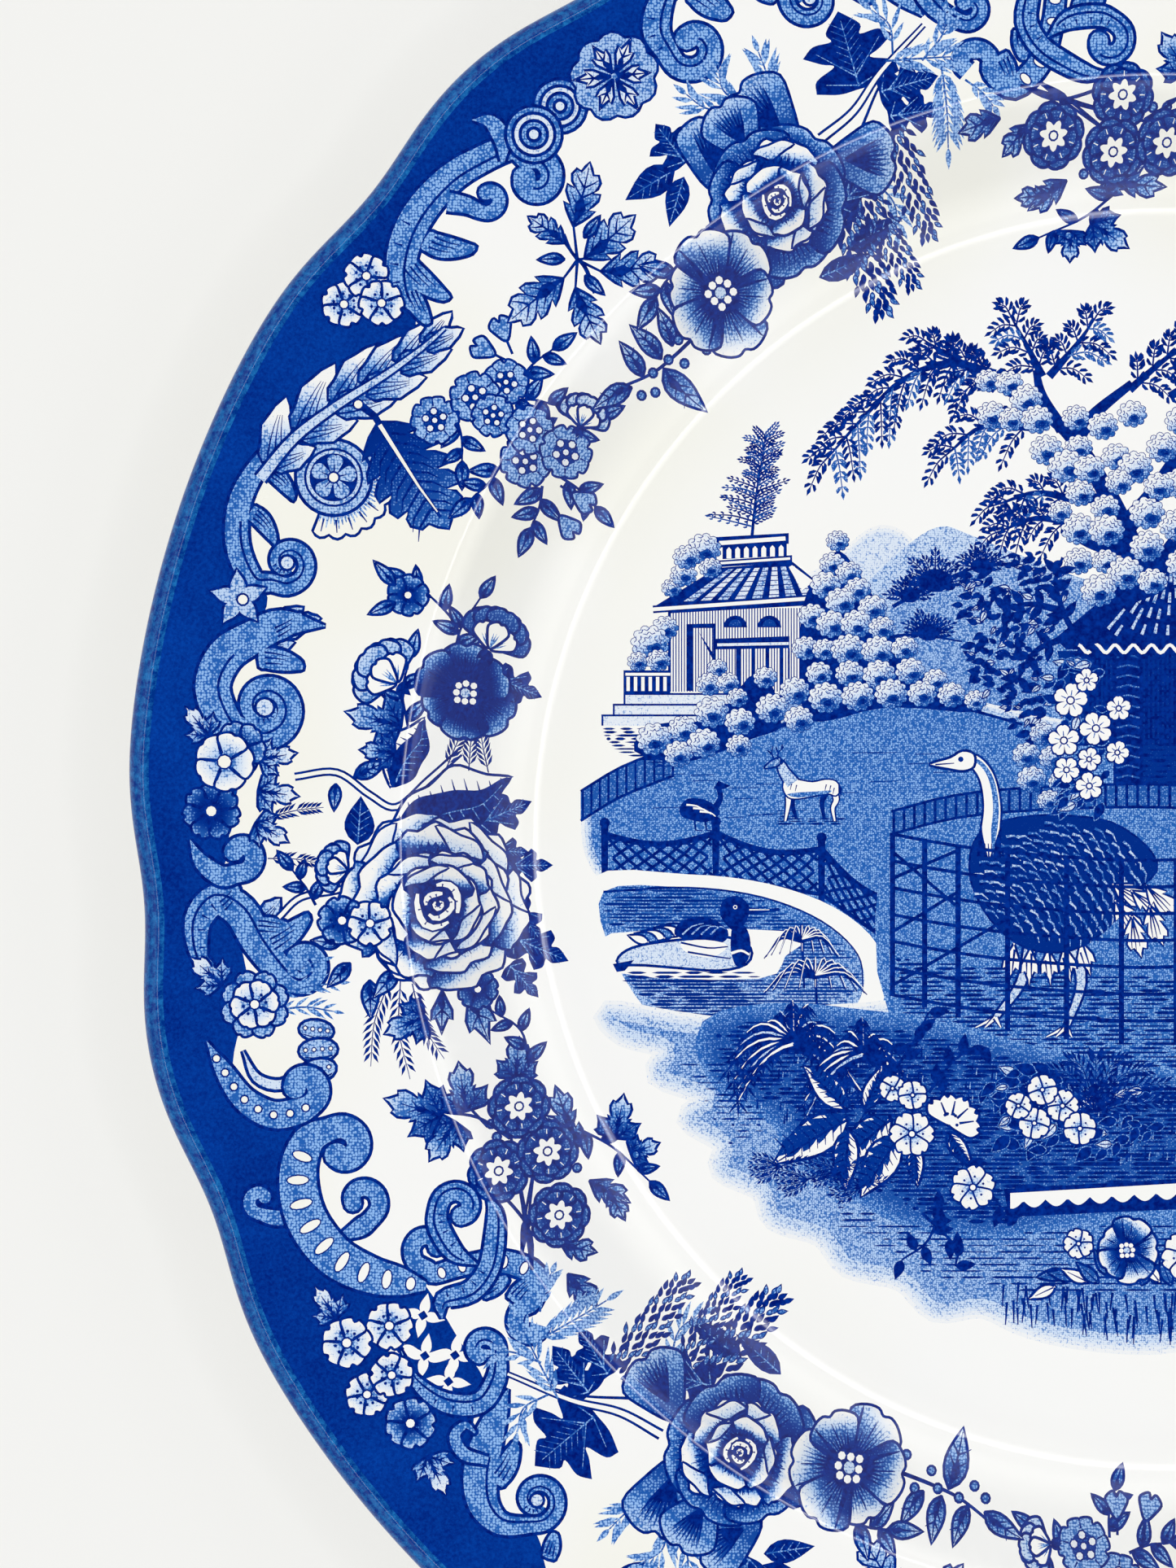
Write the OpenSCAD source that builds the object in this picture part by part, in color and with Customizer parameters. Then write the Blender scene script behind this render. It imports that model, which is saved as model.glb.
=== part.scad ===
// Round scalloped serving platter in underglaze-printed china.
// The fired body carries three printed colour films on its face and one mark under its
// base, and a clear glaze coats everything but the resting face of the foot ring.
// +Z is up. The origin is the centre of the plane that the foot ring stands on, and the
// top of the centre picture points along +Y. All sizes are in millimetres.

/* [Platter] */
// Largest diameter, measured over the long lobes of the edge
platter_d = 305; // [290:1:330]
// Angle of the rim above the horizontal
rim_angle = 6.5; // [4:0.5:9]
// Thickness of the body, wall and rim alike
body_t = 4.6; // [4:0.1:5.2]

/* [Well] */
// Radius of the flat floor of the well
floor_r = 88; // [84:1:92]
// Height of the floor's upper face above the table
floor_z = 7.2; // [6.6:0.1:8]
// Radius of the curve between the floor and the wall
cove_r = 20; // [14:1:24]
// Steepness of the wall of the well
wall_angle = 42; // [34:1:48]
// Length of the straight part of the wall
wall_len = 11; // [8:0.5:13]
// Radius of the shoulder between the wall and the rim
shoulder_r = 7; // [6:0.5:10]

/* [Foot ring] */
// Radius of the outside of the foot ring
foot_r = 86; // [82:0.5:87]
// Width of the foot ring
foot_w = 4; // [3:0.5:6]
// Height of the foot ring's wall that is wiped clean of glaze
bare_h = 0.6; // [0.3:0.1:1.2]

/* [Scalloped edge] */
// Number of long lobes, each followed by a short one
lobes = 6; // [5:1:8]
// Direction of the middle of one short lobe
scallop_phase = 12.4; // [0:0.1:60]
// Angle from the middle of a short lobe to the notch at its side
notch_offset = 8.7; // [7:0.1:11]
// Depth of a notch below the long lobes
notch_depth = 2.5; // [1.5:0.1:3]
// Spread of a notch along the edge, in degrees
notch_spread = 3.6; // [3:0.1:4.5]

/* [Print and glaze] */
// Thickness of a printed film
print_t = 0.1; // [0.08:0.01:0.15]
// Thickness of the glaze outside the print
glaze_t = 0.4; // [0.3:0.05:0.5]
// Radius inside which the centre picture is printed
scene_r = 86; // [80:0.5:86]
// Gap between the centre picture's film and the border's film
film_gap = 0.6; // [0.4:0.1:1]
// Width of the solid colour band along the edge
band_w = 10; // [8:0.5:14]
// Outer radius of the mark printed under the base
mark_r = 14; // [10:1:20]

/* [Hidden] */

edge_r = platter_d / 2 - print_t - glaze_t; // the body's own radius under print and glaze
lip_r = body_t / 2;
recess_z = floor_z - body_t;
band_r = edge_r - band_w;
edge_play = 0.4;   // how far the cutting outline stands clear of the long lobes
arc_n = 8;         // chords in each curve of the section
edge_n = 240;      // corners of the scalloped outline
tall = 40;         // taller than the platter, for the solids that cut it

function polar(r, a) = [r * cos(a), r * sin(a)];
function turned(c, r, a0, a1, n = arc_n) =
    [for (i = [0 : n]) c + polar(r, a0 + (a1 - a0) * i / n)];

// Centres of the section's three curves: cove, shoulder and lip
cove_c = [floor_r, floor_z + cove_r];
wall_end = cove_c + polar(cove_r, wall_angle - 90) + polar(wall_len, wall_angle);
shoulder_c = wall_end + polar(shoulder_r, wall_angle - 90);
rim_start = shoulder_c + polar(shoulder_r, rim_angle + 90);
lip_x = edge_r - lip_r;
rim_drop = lip_r / cos(rim_angle);
lip_c = [lip_x, rim_start[1] + (lip_x - rim_start[0]) * tan(rim_angle) - rim_drop];

// The face from its centre to the start of the rim, t outside the body's own
function face(t) = concat(
    [[0, floor_z + t]],
    turned(cove_c, cove_r - t, -90, wall_angle - 90),
    turned(shoulder_c, shoulder_r + t, wall_angle + 90, rim_angle + 90)
);

// The section, grown outwards by t on every side but the foot's resting face
function section(t) = concat(
    face(t),
    turned(lip_c, lip_r + t, rim_angle + 90, rim_angle - 90, 2 * arc_n),
    turned(shoulder_c, shoulder_r - body_t - t, rim_angle + 90, wall_angle + 90),
    turned(cove_c, cove_r + body_t + t, wall_angle - 90, -90),
    [[foot_r + t, recess_z - t], [foot_r + t - 0.3, 0.3], [foot_r - 0.6, 0],
     [foot_r - foot_w + 0.6, 0], [foot_r - foot_w - t + 0.3, 0.3],
     [foot_r - foot_w - t, recess_z - t], [0, recess_z - t]]
);

// Shortest way round from angle a to the nearest notch of one family
function swing(a, first) =
    let (step = 360 / lobes, d = (a - first) % step, e = d < 0 ? d + step : d)
    min(e, step - e);
function notch(a, first) = exp(-pow(swing(a, first) / notch_spread, 2) / 2);
function scallop(a) =
    min(1, notch(a, scallop_phase - notch_offset) + notch(a, scallop_phase + notch_offset));
function outline_r(a, t) = edge_r + t + edge_play - (notch_depth + edge_play) * scallop(a);

module outline(t) {
    polygon([for (i = [0 : edge_n - 1]) let (a = 360 * i / edge_n) polar(outline_r(a, t), a)]);
}

// The whole platter with its surface t outside the body's own
module platter(t) {
    intersection() {
        rotate_extrude($fn = 180) polygon(section(t));
        translate([0, 0, -1]) linear_extrude(tall) outline(t);
    }
}

// The space over the face and the outer half of the lip, from radius r0 to radius r1
module over_face(r0, r1) {
    intersection() {
        rotate_extrude($fn = 180) polygon(
            concat(face(-lip_r), [lip_c, [r1 + 1, lip_c[1]], [r1 + 1, tall], [0, tall]])
        );
        difference() {
            cylinder(h = tall, r = r1, $fn = 180);
            translate([0, 0, -1]) cylinder(h = tall + 2, r = r0, $fn = 180);
        }
    }
}

// Printed colour between the body and the glaze, over one ring of the face
module film(r0, r1) {
    difference() {
        intersection() {
            platter(print_t);
            over_face(r0, r1);
        }
        platter(0);
    }
}

module body() {
    color("ivory") platter(0);
}

module rim_band_film() {
    film(band_r, platter_d);
}

module border_film() {
    film(scene_r + film_gap, band_r);
}

module scene_film() {
    translate([0, 0, floor_z]) cylinder(h = print_t, r = scene_r, $fn = 180);
}

module rim_band_print() {
    color("mediumblue") rim_band_film();
}

module border_print() {
    color("royalblue") border_film();
}

module scene_print() {
    color("cornflowerblue") scene_film();
}

// A plain ring and disc under the base
module mark_film() {
    translate([0, 0, recess_z - print_t]) {
        difference() {
            cylinder(h = print_t, r = mark_r, $fn = 96);
            translate([0, 0, -1]) cylinder(h = print_t + 2, r = mark_r - 1.5, $fn = 96);
        }
        cylinder(h = print_t, r = mark_r / 2, $fn = 96);
    }
}

module base_mark_print() {
    color("midnightblue") mark_film();
}

// Clear coat from the foot ring's outer wall, round the edge and over the face
module glaze() {
    color("azure", 0.35) difference() {
        platter(print_t + glaze_t);
        platter(0);
        rim_band_film();
        border_film();
        scene_film();
        cylinder(h = 2 * bare_h, r = foot_r + 2, center = true, $fn = 180);
        translate([0, 0, -1]) cylinder(h = recess_z + 2, r = foot_r - foot_w / 2, $fn = 180);
    }
}

// Clear coat over the recess inside the foot ring
module recess_glaze() {
    color("azure", 0.35) difference() {
        translate([0, 0, recess_z - print_t - glaze_t])
            cylinder(h = print_t + glaze_t, r = foot_r - foot_w, $fn = 180);
        platter(0);
        mark_film();
    }
}

body();
rim_band_print();
border_print();
scene_print();
base_mark_print();
glaze();
recess_glaze();
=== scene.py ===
import math

import bpy
import numpy as np
from mathutils.geometry import delaunay_2d_cdt
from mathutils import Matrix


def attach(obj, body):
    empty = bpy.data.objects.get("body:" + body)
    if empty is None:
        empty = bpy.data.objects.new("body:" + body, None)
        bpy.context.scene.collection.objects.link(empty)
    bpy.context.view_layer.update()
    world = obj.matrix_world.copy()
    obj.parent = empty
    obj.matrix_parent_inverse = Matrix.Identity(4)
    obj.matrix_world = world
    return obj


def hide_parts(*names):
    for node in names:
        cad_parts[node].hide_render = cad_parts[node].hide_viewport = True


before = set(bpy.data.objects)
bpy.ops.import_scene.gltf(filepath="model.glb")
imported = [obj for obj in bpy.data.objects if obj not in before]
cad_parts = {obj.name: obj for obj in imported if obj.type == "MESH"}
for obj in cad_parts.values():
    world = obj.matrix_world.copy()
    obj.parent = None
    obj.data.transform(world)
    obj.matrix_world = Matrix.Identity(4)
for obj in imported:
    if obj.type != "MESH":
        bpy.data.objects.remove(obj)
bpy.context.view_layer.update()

# ---------------------------------------------------------------- drawing on the flat print
# The print is drawn in millimetres on a flat sheet, x to the right and y up, in painter's order.
# Each shape is (ink, tone at its start, tone at its end, start, end, outline).
SHEET = []
WHITE, DOTS, BAND, LINE = range(4)
PEN_W = 0.42                     # width of an engraved outline
TAU = 2 * math.pi


def rad(a):
    return a * math.pi / 180


def unit(a):
    return np.array([math.cos(rad(a)), math.sin(rad(a))])


def heading(d):
    """The angle of a direction, in degrees."""
    return math.degrees(math.atan2(d[1], d[0]))


def run_along(line):
    """How far along a line each of its points lies."""
    return np.r_[0, np.cumsum(np.hypot(*np.diff(line, axis=0).T))]


class Pen:
    """A place on the sheet: what it draws is given in its own millimetres."""

    def __init__(self, x=0.0, y=0.0, turn=0.0, size=1.0, flip=False):
        c, s = math.cos(rad(turn)) * size, math.sin(rad(turn)) * size
        f = -1 if flip else 1
        self.m = np.array([[c * f, -s], [s * f, c]])
        self.o = np.array([x, y], float)

    def at(self, x=0.0, y=0.0, turn=0.0, size=1.0, flip=False):
        inner = Pen(0, 0, turn, size, flip)
        new = Pen()
        new.m = self.m @ inner.m
        new.o = self.m @ np.array([x, y], float) + self.o
        return new

    def sheet(self, points):
        return np.asarray(points, float).reshape(-1, 2) @ self.m.T + self.o

    def fill(self, points, ink=LINE, tone=1.0, end_tone=None, start=None, end=None):
        p = self.sheet(points)
        if end_tone is None:
            end_tone, start, end = tone, p[0], p[0] + 1
        else:
            start, end = self.sheet([start, end])
        SHEET.append((ink, tone, end_tone, start, end, p))

    def stroke(self, points, width=PEN_W, end_width=None, ink=LINE, tone=1.0):
        """A line along points, its width changing evenly to end_width."""
        points = np.asarray(points, float)
        w = np.linspace(width, width if end_width is None else end_width, len(points))
        self.fill(ribbon(points, w), ink, tone)

    def dab(self, x, y, r, ink=LINE, tone=1.0, n=9):
        self.fill(disc(x, y, r, n), ink, tone)

    def outlined(self, shapes, ink=WHITE, tone=0.0, width=PEN_W, **shade):
        """Shapes that melt into one, with one dark outline round them all."""
        for s in shapes:
            self.fill(grown(s, width / 2))
        for s in shapes:
            self.fill(grown(s, -width / 2), ink, tone, **shade)


def disc(x, y, r, n=14):
    a = np.arange(n) * TAU / n
    return np.c_[x + r * np.cos(a), y + r * np.sin(a)]


def normals(p, closed):
    if closed:
        d = np.roll(p, -1, 0) - np.roll(p, 1, 0)
    else:
        d = np.gradient(p, axis=0)
    d /= np.maximum(np.hypot(d[:, 0], d[:, 1])[:, None], 1e-9)
    return np.c_[d[:, 1], -d[:, 0]]


def area(p):
    x, y = p[:, 0], p[:, 1]
    return 0.5 * float(np.sum(x * np.roll(y, -1) - y * np.roll(x, -1)))


def grown(p, w):
    p = np.asarray(p, float)
    return p + normals(p, True) * (w if area(p) > 0 else -w)


def ribbon(p, w):
    n = normals(p, False) * (np.asarray(w) / 2)[:, None]
    return np.r_[p + n, (p - n)[::-1]]


def spline(points, n=5, closed=False):
    """A smooth line through points."""
    p = np.asarray(points, float)
    if closed:
        q = np.r_[p[-1:], p, p[:2]]
    else:
        q = np.r_[2 * p[:1] - p[1:2], p, 2 * p[-1:] - p[-2:-1]]
    t = (np.arange(n) / n)[:, None]
    out = []
    for a, b, c, d in zip(q, q[1:], q[2:], q[3:]):
        out.append(0.5 * (2 * b + (c - a) * t + (2 * a - 5 * b + 4 * c - d) * t**2
                          + (3 * b - a - 3 * c + d) * t**3))
    out = np.concatenate(out)
    return out if closed else np.r_[out, p[-1:]]


def mirrored(half):
    """A closed outline from its upper half, which runs from the base to the tip along x."""
    half = np.asarray(half, float)
    lower = half[::-1] * [1, -1]
    return np.r_[half, lower[1:] if abs(half[-1, 1]) < 1e-6 else lower]


# ---------------------------------------------------------------- leaves
def leaf_shape(length, width, lobes=0, bend=0.0, bite=0.35):
    """A leaf from the origin along x. Lobes are pointed teeth on each side that lean to the tip."""
    def side(t):
        return math.sin(math.pi * min(1, 0.86 * t + 0.1)) ** 0.75

    if lobes:
        half = [(0, 0)]
        step = 1 / (lobes + 0.75)
        for i in range(lobes):
            t = (i + 0.12) * step
            half += [(t + 0.3 * step, side(t) * (1 - 0.55 * bite)), (t + 0.68 * step, side(t + 0.4 * step)),
                     (t + 1.06 * step, side(t + step) * 1.04),
                     (t + 0.98 * step, side(t + step) * (1 - bite) * 0.9)]
        half += [(1 - 0.3 * step, side(1) * 0.9), (1, 0)]
    else:
        t = np.linspace(0, 1, 8)
        half = np.c_[t, np.sin(np.pi * t**0.8) * (1 - 0.25 * t)]
        half[-1, 1] = 0
    p = mirrored(np.array(half) * [length, width / 2])
    p[:, 1] += bend * (p[:, 0] / length) ** 2 * length
    return p


def leaf(P, length, width, lobes=0, bend=0.0, tone=0.5, rib=True, pen=PEN_W, veins=3):
    """One stippled leaf with its midrib and veins, dark at its foot."""
    p = leaf_shape(length, width, lobes, bend)
    P.outlined([p], DOTS, tone + 0.25, width=pen, end_tone=tone - 0.25, start=(0, 0),
               end=(length, bend * length))
    if rib:
        t = np.linspace(0, 0.92, 6)
        P.stroke(np.c_[t * length, bend * t**2 * length], pen + 0.1, 0.12)
        for i in range(veins):
            x = (0.14 + 0.62 * i / max(1, veins)) * length
            y = bend * (x / length) ** 2 * length
            reach = width * 0.38 * math.sin(math.pi * min(1, 0.86 * x / length + 0.12))
            for s in (1, -1):
                P.stroke([(x, y), (x + reach * 0.55, y + 0.62 * s * reach), (x + reach * 1.0, y + s * reach)],
                         0.36, 0.1)
        P.fill([(0, 0), (0.34 * length, 0.16 * width), (0.5 * length, 0.02 * width),
                (0.3 * length, -0.2 * width)])


def fan_leaf(P, length, width, tone=0.5, fingers=3, spread=46, pen=PEN_W):
    """A leaf of pointed fingers that melt together at its base."""
    mid = (fingers - 1) / 2
    shapes, ribs = [], []
    for i in range(fingers):
        k = (i - mid) / max(mid, 1)
        f = Pen(length * 0.1 * (1 - abs(k)), 0, k * spread)
        reach = length * (0.92 - 0.26 * abs(k))
        shapes.append(f.sheet(leaf_shape(reach, width * 1.05, 2 if abs(k) < 0.5 else 1, 0.06 * k, 0.2)))
        ribs.append((k * spread, reach * 0.78))
    P.outlined(shapes, DOTS, tone + 0.3, width=pen, end_tone=tone - 0.25, start=(0, 0), end=(length, 0))
    for turn, reach in ribs:
        q = P.at(turn=turn)
        q.stroke([(0, 0), (reach, 0)], pen + 0.1, 0.1)
        for x in (0.34, 0.56):
            for side in (1, -1):
                q.stroke([(x * reach, 0), ((x + 0.22) * reach, side * 0.24 * width)], 0.34, 0.1)
    P.fill([(0, 0), (0.4 * length, 0.12 * width), (0.46 * length, 0), (0.4 * length, -0.12 * width)])


def twig(P, path, leaves, length, width, tone=0.5, stem=0.45):
    """A stem with leaves in turn on its two sides and one at its tip."""
    path = spline(path, 6)
    P.stroke(path, stem, stem * 0.6)
    step = len(path) / (leaves + 0.6)
    for i in range(leaves):
        k = min(len(path) - 2, int((i + 0.7) * step))
        d = path[k + 1] - path[k - 1]
        a = heading(d) + (48 if i % 2 else -48)
        s = 1 - 0.25 * i / leaves
        leaf(P.at(path[k][0], path[k][1], a), length * s, width * s, 0, 0.1 if i % 2 else -0.1, tone, veins=1)
    d = path[-1] - path[-3]
    leaf(P.at(path[-1][0], path[-1][1], heading(d)), length, width, 0, 0, tone, veins=1)


def frond(P, path, pairs=7, length=5.0, width=0.9, tone=0.45, slant=40):
    """A light frond: slim leaflets in pairs along a stem."""
    path = spline(path, 5)
    P.stroke(path, 0.34, 0.2, DOTS, 0.62)
    for i in range(pairs):
        k = int(1 + (len(path) - 3) * (i + 0.5) / pairs)
        d = path[k + 1] - path[k - 1]
        a = heading(d)
        s = length * math.sin(math.pi * (0.2 + 0.7 * i / pairs)) ** 0.6
        for side in (1, -1):
            q = P.at(path[k][0], path[k][1], a + side * slant)
            bend = -side * 0.14 * s
            q.fill([(0, 0), (0.35 * s, 0.5 * width + 0.2 * bend), (0.75 * s, 0.3 * width + 0.6 * bend),
                    (s, bend), (0.72 * s, -0.22 * width + 0.6 * bend),
                    (0.35 * s, -0.34 * width + 0.2 * bend)], DOTS, tone)
    d = path[-1] - path[-2]
    P.at(path[-1][0], path[-1][1], heading(d)).fill(leaf_shape(length * 0.6, width), DOTS, tone)


def spike(P, length, width, buds=70):
    """A catkin: plump buds spread evenly over a tapering form, one in three of them pale."""
    for k in range(buds):
        t, v = k / (buds - 1), 2 * (k * GOLDEN % 1) - 1
        w = width * math.sin(math.pi * (0.16 + 0.76 * t)) ** 0.6
        q = P.at(0.94 * t * length, 0.42 * v * w, 30 * v + 14 * math.sin(7.3 * k))
        bud = leaf_shape(width * (0.34 - 0.07 * t), width * 0.15)
        q.fill(bud)
        if k % 3 == 0:
            q.fill(grown(bud, -0.16), DOTS, 0.55)


GOLDEN = 0.618034      # steps of this share of a turn never line up


def feather(P, path, dashes=12, length=1.6, width=0.46):
    """A feathery sprig of short dark dashes in a V along its line."""
    path = spline(path, 6)
    P.stroke(path, 0.2, 0.1)
    for i in range(dashes):
        k = int(1 + (len(path) - 3) * (i + 0.5) / dashes)
        d = path[k + 1] - path[k - 1]
        a = heading(d)
        s = length * (1.15 - 0.5 * abs(i / dashes - 0.35))
        for side in (1, -1):
            q = P.at(path[k][0], path[k][1], a + side * 36)
            q.fill([(0.1, 0), (0.5 * s, width / 2), (s, -side * 0.1), (0.5 * s, -width / 2)])


def berries(P, spots, r=0.75):
    for x, y in spots:
        P.dab(x, y, r + 0.2, n=10)
        P.dab(x, y, r - 0.15, DOTS, 0.55, n=10)


# ---------------------------------------------------------------- flowers
def petal(r0, r1, w, notch=0.0):
    """A round petal along x from r0 to r1, notch deep at the middle of its tip."""
    d = r1 - r0
    side = [(r0, 0.1 * w), (r0 + 0.35 * d, 0.34 * w), (r0 + 0.7 * d, 0.5 * w), (r1 - 0.08 * d, 0.33 * w),
            (r1, 0.13 * w)]
    lower = [(x, -y) for x, y in side]
    return spline(lower + [(r1 - notch * d, 0)] + side[::-1], 3, True)


def comb(r0, r1, a0, a1, n, depth=0.3, seed=0):
    """A shaded patch about the origin from angle a0 to a1: smooth inside, ragged outside."""
    a = np.linspace(a0, a1, 2 * n + 1)
    k = np.arange(2 * n + 1)
    out = np.where(k % 2 == 1, r1, r1 - (r1 - r0) * (depth + 0.22 * np.sin(3.1 * k + seed) ** 2))
    ri = np.full(5, r0)
    ai = np.linspace(a1, a0, 5)
    return np.r_[np.c_[out * np.cos(np.radians(a)), out * np.sin(np.radians(a))],
                 np.c_[ri * np.cos(np.radians(ai)), ri * np.sin(np.radians(ai))]]


def ring(P, x, y, r, width=0.3, ink=WHITE, tone=0.0, n=10):
    """A small ring: a dark disc with a lighter middle."""
    P.dab(x, y, r, n=n)
    P.dab(x, y, r - width, ink, tone, n=n)


def petals(P, shapes, tone, end_tone, start, end, width=0.4):
    """Petals about one centre, (turn, outline) each, shaded from start to end along themselves."""
    for turn, p in shapes:
        q = P.at(turn=turn)
        q.fill(grown(p, width / 2))
        q.fill(grown(p, -width / 2), DOTS, tone, end_tone, (start, 0), (end, 0))


def blossom(P, r, n=5, phase=0.0, tone=None, notch=0.14, dots=10, heart=0.2):
    """A small open flower of one round of petals; white unless it has a tone."""
    p = petal(0.12 * r, r, 1.08 * r * 5 / n, notch)
    rim = tone or 0.0
    petals(P, [(phase + 360 * i / n, p) for i in range(n)], rim + 0.5, rim, 0.22 * r, 0.86 * r)
    for i in range(n):
        P.at(turn=phase + 360 * (i + 0.5) / n).stroke([(0.3 * r, 0), (0.7 * r, 0)], 0.34, 0.16)
        if tone is not None:
            P.at(turn=phase + 360 * i / n).fill(comb(0.16 * r, 0.5 * r, -15, 15, 3, 0.5, i))
    if dots:
        for i in range(dots):
            a = rad(360 * i / dots)
            P.dab(0.46 * r * math.cos(a), 0.46 * r * math.sin(a), 0.15 + 0.03 * r, n=6)
    ring(P, 0, 0, heart * r + 0.16, 0.26, n=9)


def double_flower(P, r, phase=0.0):
    """A dark double flower with a white star and a ring at its heart."""
    for rr, k, ph in ((r, 8, phase), (0.8 * r, 8, phase + 22)):
        for i in range(k):
            q = P.at(turn=ph + 360 * i / k)
            q.fill(petal(0.15 * rr, rr + 0.15, 0.84 * rr))
            q.fill(petal(0.52 * rr, rr - 0.28, 0.56 * rr, 0.05), DOTS, 0.56, 0.92, (rr, 0), (0.5 * rr, 0))
    for i in range(8):
        a = phase + 11 + 45 * i
        P.at(turn=a).stroke([(0.56 * r, 0), (0.72 * r, 0)], 0.16, 0.1, WHITE, 0)
    n = 7
    pts = []
    for i in range(n):
        for da, rr in ((-13, 0.4), (0, 0.47), (13, 0.4), (25.7, 0.3)):
            pts.append(unit(phase + 360 * i / n + da) * r * rr)
    P.fill(spline(pts, 2, True), WHITE, 0)
    ring(P, 0, 0, 0.15 * r + 0.1, 0.27, n=9)


def ruffle(P, r, half, waves=3, shade=0.85, teeth=9, seed=0.0, fold=0):
    """One broad petal along x: dark at its root, white at its scalloped edge, turned over at one side."""
    n = waves * 4 + 1
    a = np.linspace(-half, half, n)
    k = np.arange(n)
    wave = 0.06 * np.abs(np.sin(np.pi * k / 4 + 0.4 * seed)) + 0.025 * np.sin(2.1 * k + seed)
    rr = r * (1 + wave - 0.16 * (a / half) ** 4)
    rim = np.c_[rr * np.cos(np.radians(a)), rr * np.sin(np.radians(a))]
    p = spline(np.r_[[(0.12 * r, 0)], rim], 2, True)
    P.fill(grown(p, PEN_W / 2))
    P.fill(grown(p, -PEN_W / 2), DOTS, 1.0, 0.0, ((shade - 0.22) * r, 0), ((shade + 0.08) * r, 0))
    P.fill(comb(0.3 * r, shade * r, -half * 0.9, half * 0.9, teeth + 3, 0.12, seed + 1), DOTS, 0.8)
    P.fill(comb(0.1 * r, (shade - 0.09) * r, -half * 0.94, half * 0.94, teeth, 0.08, seed))
    for j in range(teeth):
        b = half * (1.7 * (j + 0.5) / teeth - 0.85)
        P.at(turn=b).stroke([((shade - 0.16) * r, 0), ((shade + 0.05 * math.sin(2.7 * j + seed)) * r, 0)],
                            0.3, 0.1)
    if fold:
        t = np.linspace(0, 1, 8)
        b = np.radians(fold * half * (0.98 - 1.15 * t))
        out = r * (1.0 - 0.14 * (1 - t) ** 3 + 0.03 * np.sin(9 * t + seed))
        low = out * (1 - 0.3 * np.sin(np.pi * t) ** 0.8)
        edge = np.c_[out * np.cos(b), out * np.sin(b)]
        inner = np.c_[low * np.cos(b), low * np.sin(b)]
        P.fill(grown(spline(np.r_[edge, inner[::-1][1:-1]], 2, True), 0.2))
        P.fill(grown(spline(np.r_[edge, inner[::-1][1:-1]], 2, True), -0.16), DOTS, 0.0, 0.42, edge[4],
               inner[4])


def heart_folds(P, r):
    """The folded petals at the heart of a rose: white lips about a dark hollow."""
    P.dab(0, 0, r, n=16)
    for size, start, sweep, wide in ((0.84, 20, 150, 0.26), (0.8, 205, 120, 0.28), (0.5, 95, 170, 0.24),
                                     (0.46, 300, 110, 0.24), (0.16, 0, 300, 0.16)):
        a = np.radians(start + np.linspace(0, sweep, 8))
        lip = r * size * (1 + 0.08 * np.sin(3.3 * a + start))
        p = np.c_[lip * np.cos(a), lip * np.sin(a)]
        w = r * wide * np.sin(np.pi * np.linspace(0.08, 0.94, 8)) ** 0.5
        P.fill(ribbon(p, w + 0.5))
        P.fill(ribbon(p, np.maximum(w - 0.06, 0.05)), WHITE, 0)
        for i in (2, 4, 6):
            P.stroke([p[i], p[i] * (1 - 0.5 * wide / size)], 0.26, 0.1)


def rose(P, r, seed=0.0):
    """A full rose: whorls of scalloped petals that get smaller towards a folded heart."""
    whorls = ((1.0, 6, 38, 0.86, 0), (0.83, 5, 46, 0.82, 31), (0.66, 5, 47, 0.78, 8), (0.5, 4, 56, 0.72, 50))
    for k, (size, n, half, shade, turn) in enumerate(whorls):
        for i in range(n):
            q = P.at(0.05 * r * math.cos(2 * k + i), 0.05 * r * math.sin(k + 2 * i),
                     seed * 40 + turn + 360 * i / n)
            length = size * r * (1 + 0.1 * math.sin(1.7 * i + seed + k))
            fold = (1, 0, -1, 0, 1, -1)[(i + k) % 6]
            ruffle(q, length, half * (1 + 0.1 * math.cos(2.3 * i)), 3 if k < 3 else 2, shade, 9 - k,
                   seed + i + k, fold)
    heart_folds(P.at(0.02 * r, -0.02 * r, seed * 50), 0.31 * r)


def peony(P, r, seed=0.0):
    """A heavy bloom: broad dark outer petals, a white ruffled bowl and a dark heart."""
    for i in range(6):
        q = P.at(turn=seed * 30 + 60 * i)
        s = r * (1 + 0.09 * math.sin(2.3 * i + seed))
        q.outlined([petal(0.1 * s, s, 1.18 * s, 0.05)], DOTS, 0.95, end_tone=0.4, start=(0.6 * s, 0),
                   end=(s, 0))
        q.fill(comb(0.1 * s, 0.95 * s, -22, 22, 8, 0.16, i + 2 + seed), DOTS, 0.72)
        q.fill(comb(0.1 * s, 0.88 * s, -26, 26, 9, 0.2, i + seed))
    for i in range(5):
        q = P.at(0.06 * r * math.cos(2 * i), 0.05 * r, seed * 30 + 22 + 72 * i)
        ruffle(q, 0.7 * r * (1 + 0.12 * math.sin(3 * i + seed)), 42, 3, 0.78, 8, seed + i,
               (1, -1, 0, 1, -1)[i])
    for i in range(4):
        q = P.at(0.04 * r, 0.02 * r, seed * 30 + 70 + 90 * i)
        ruffle(q, 0.47 * r * (1 + 0.1 * math.sin(2 * i)), 50, 2, 0.7, 7, seed + i, (0, 1, 0, -1)[i])
    heart_folds(P.at(0.03 * r, 0.02 * r, 80 + seed * 30), 0.24 * r)


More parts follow.
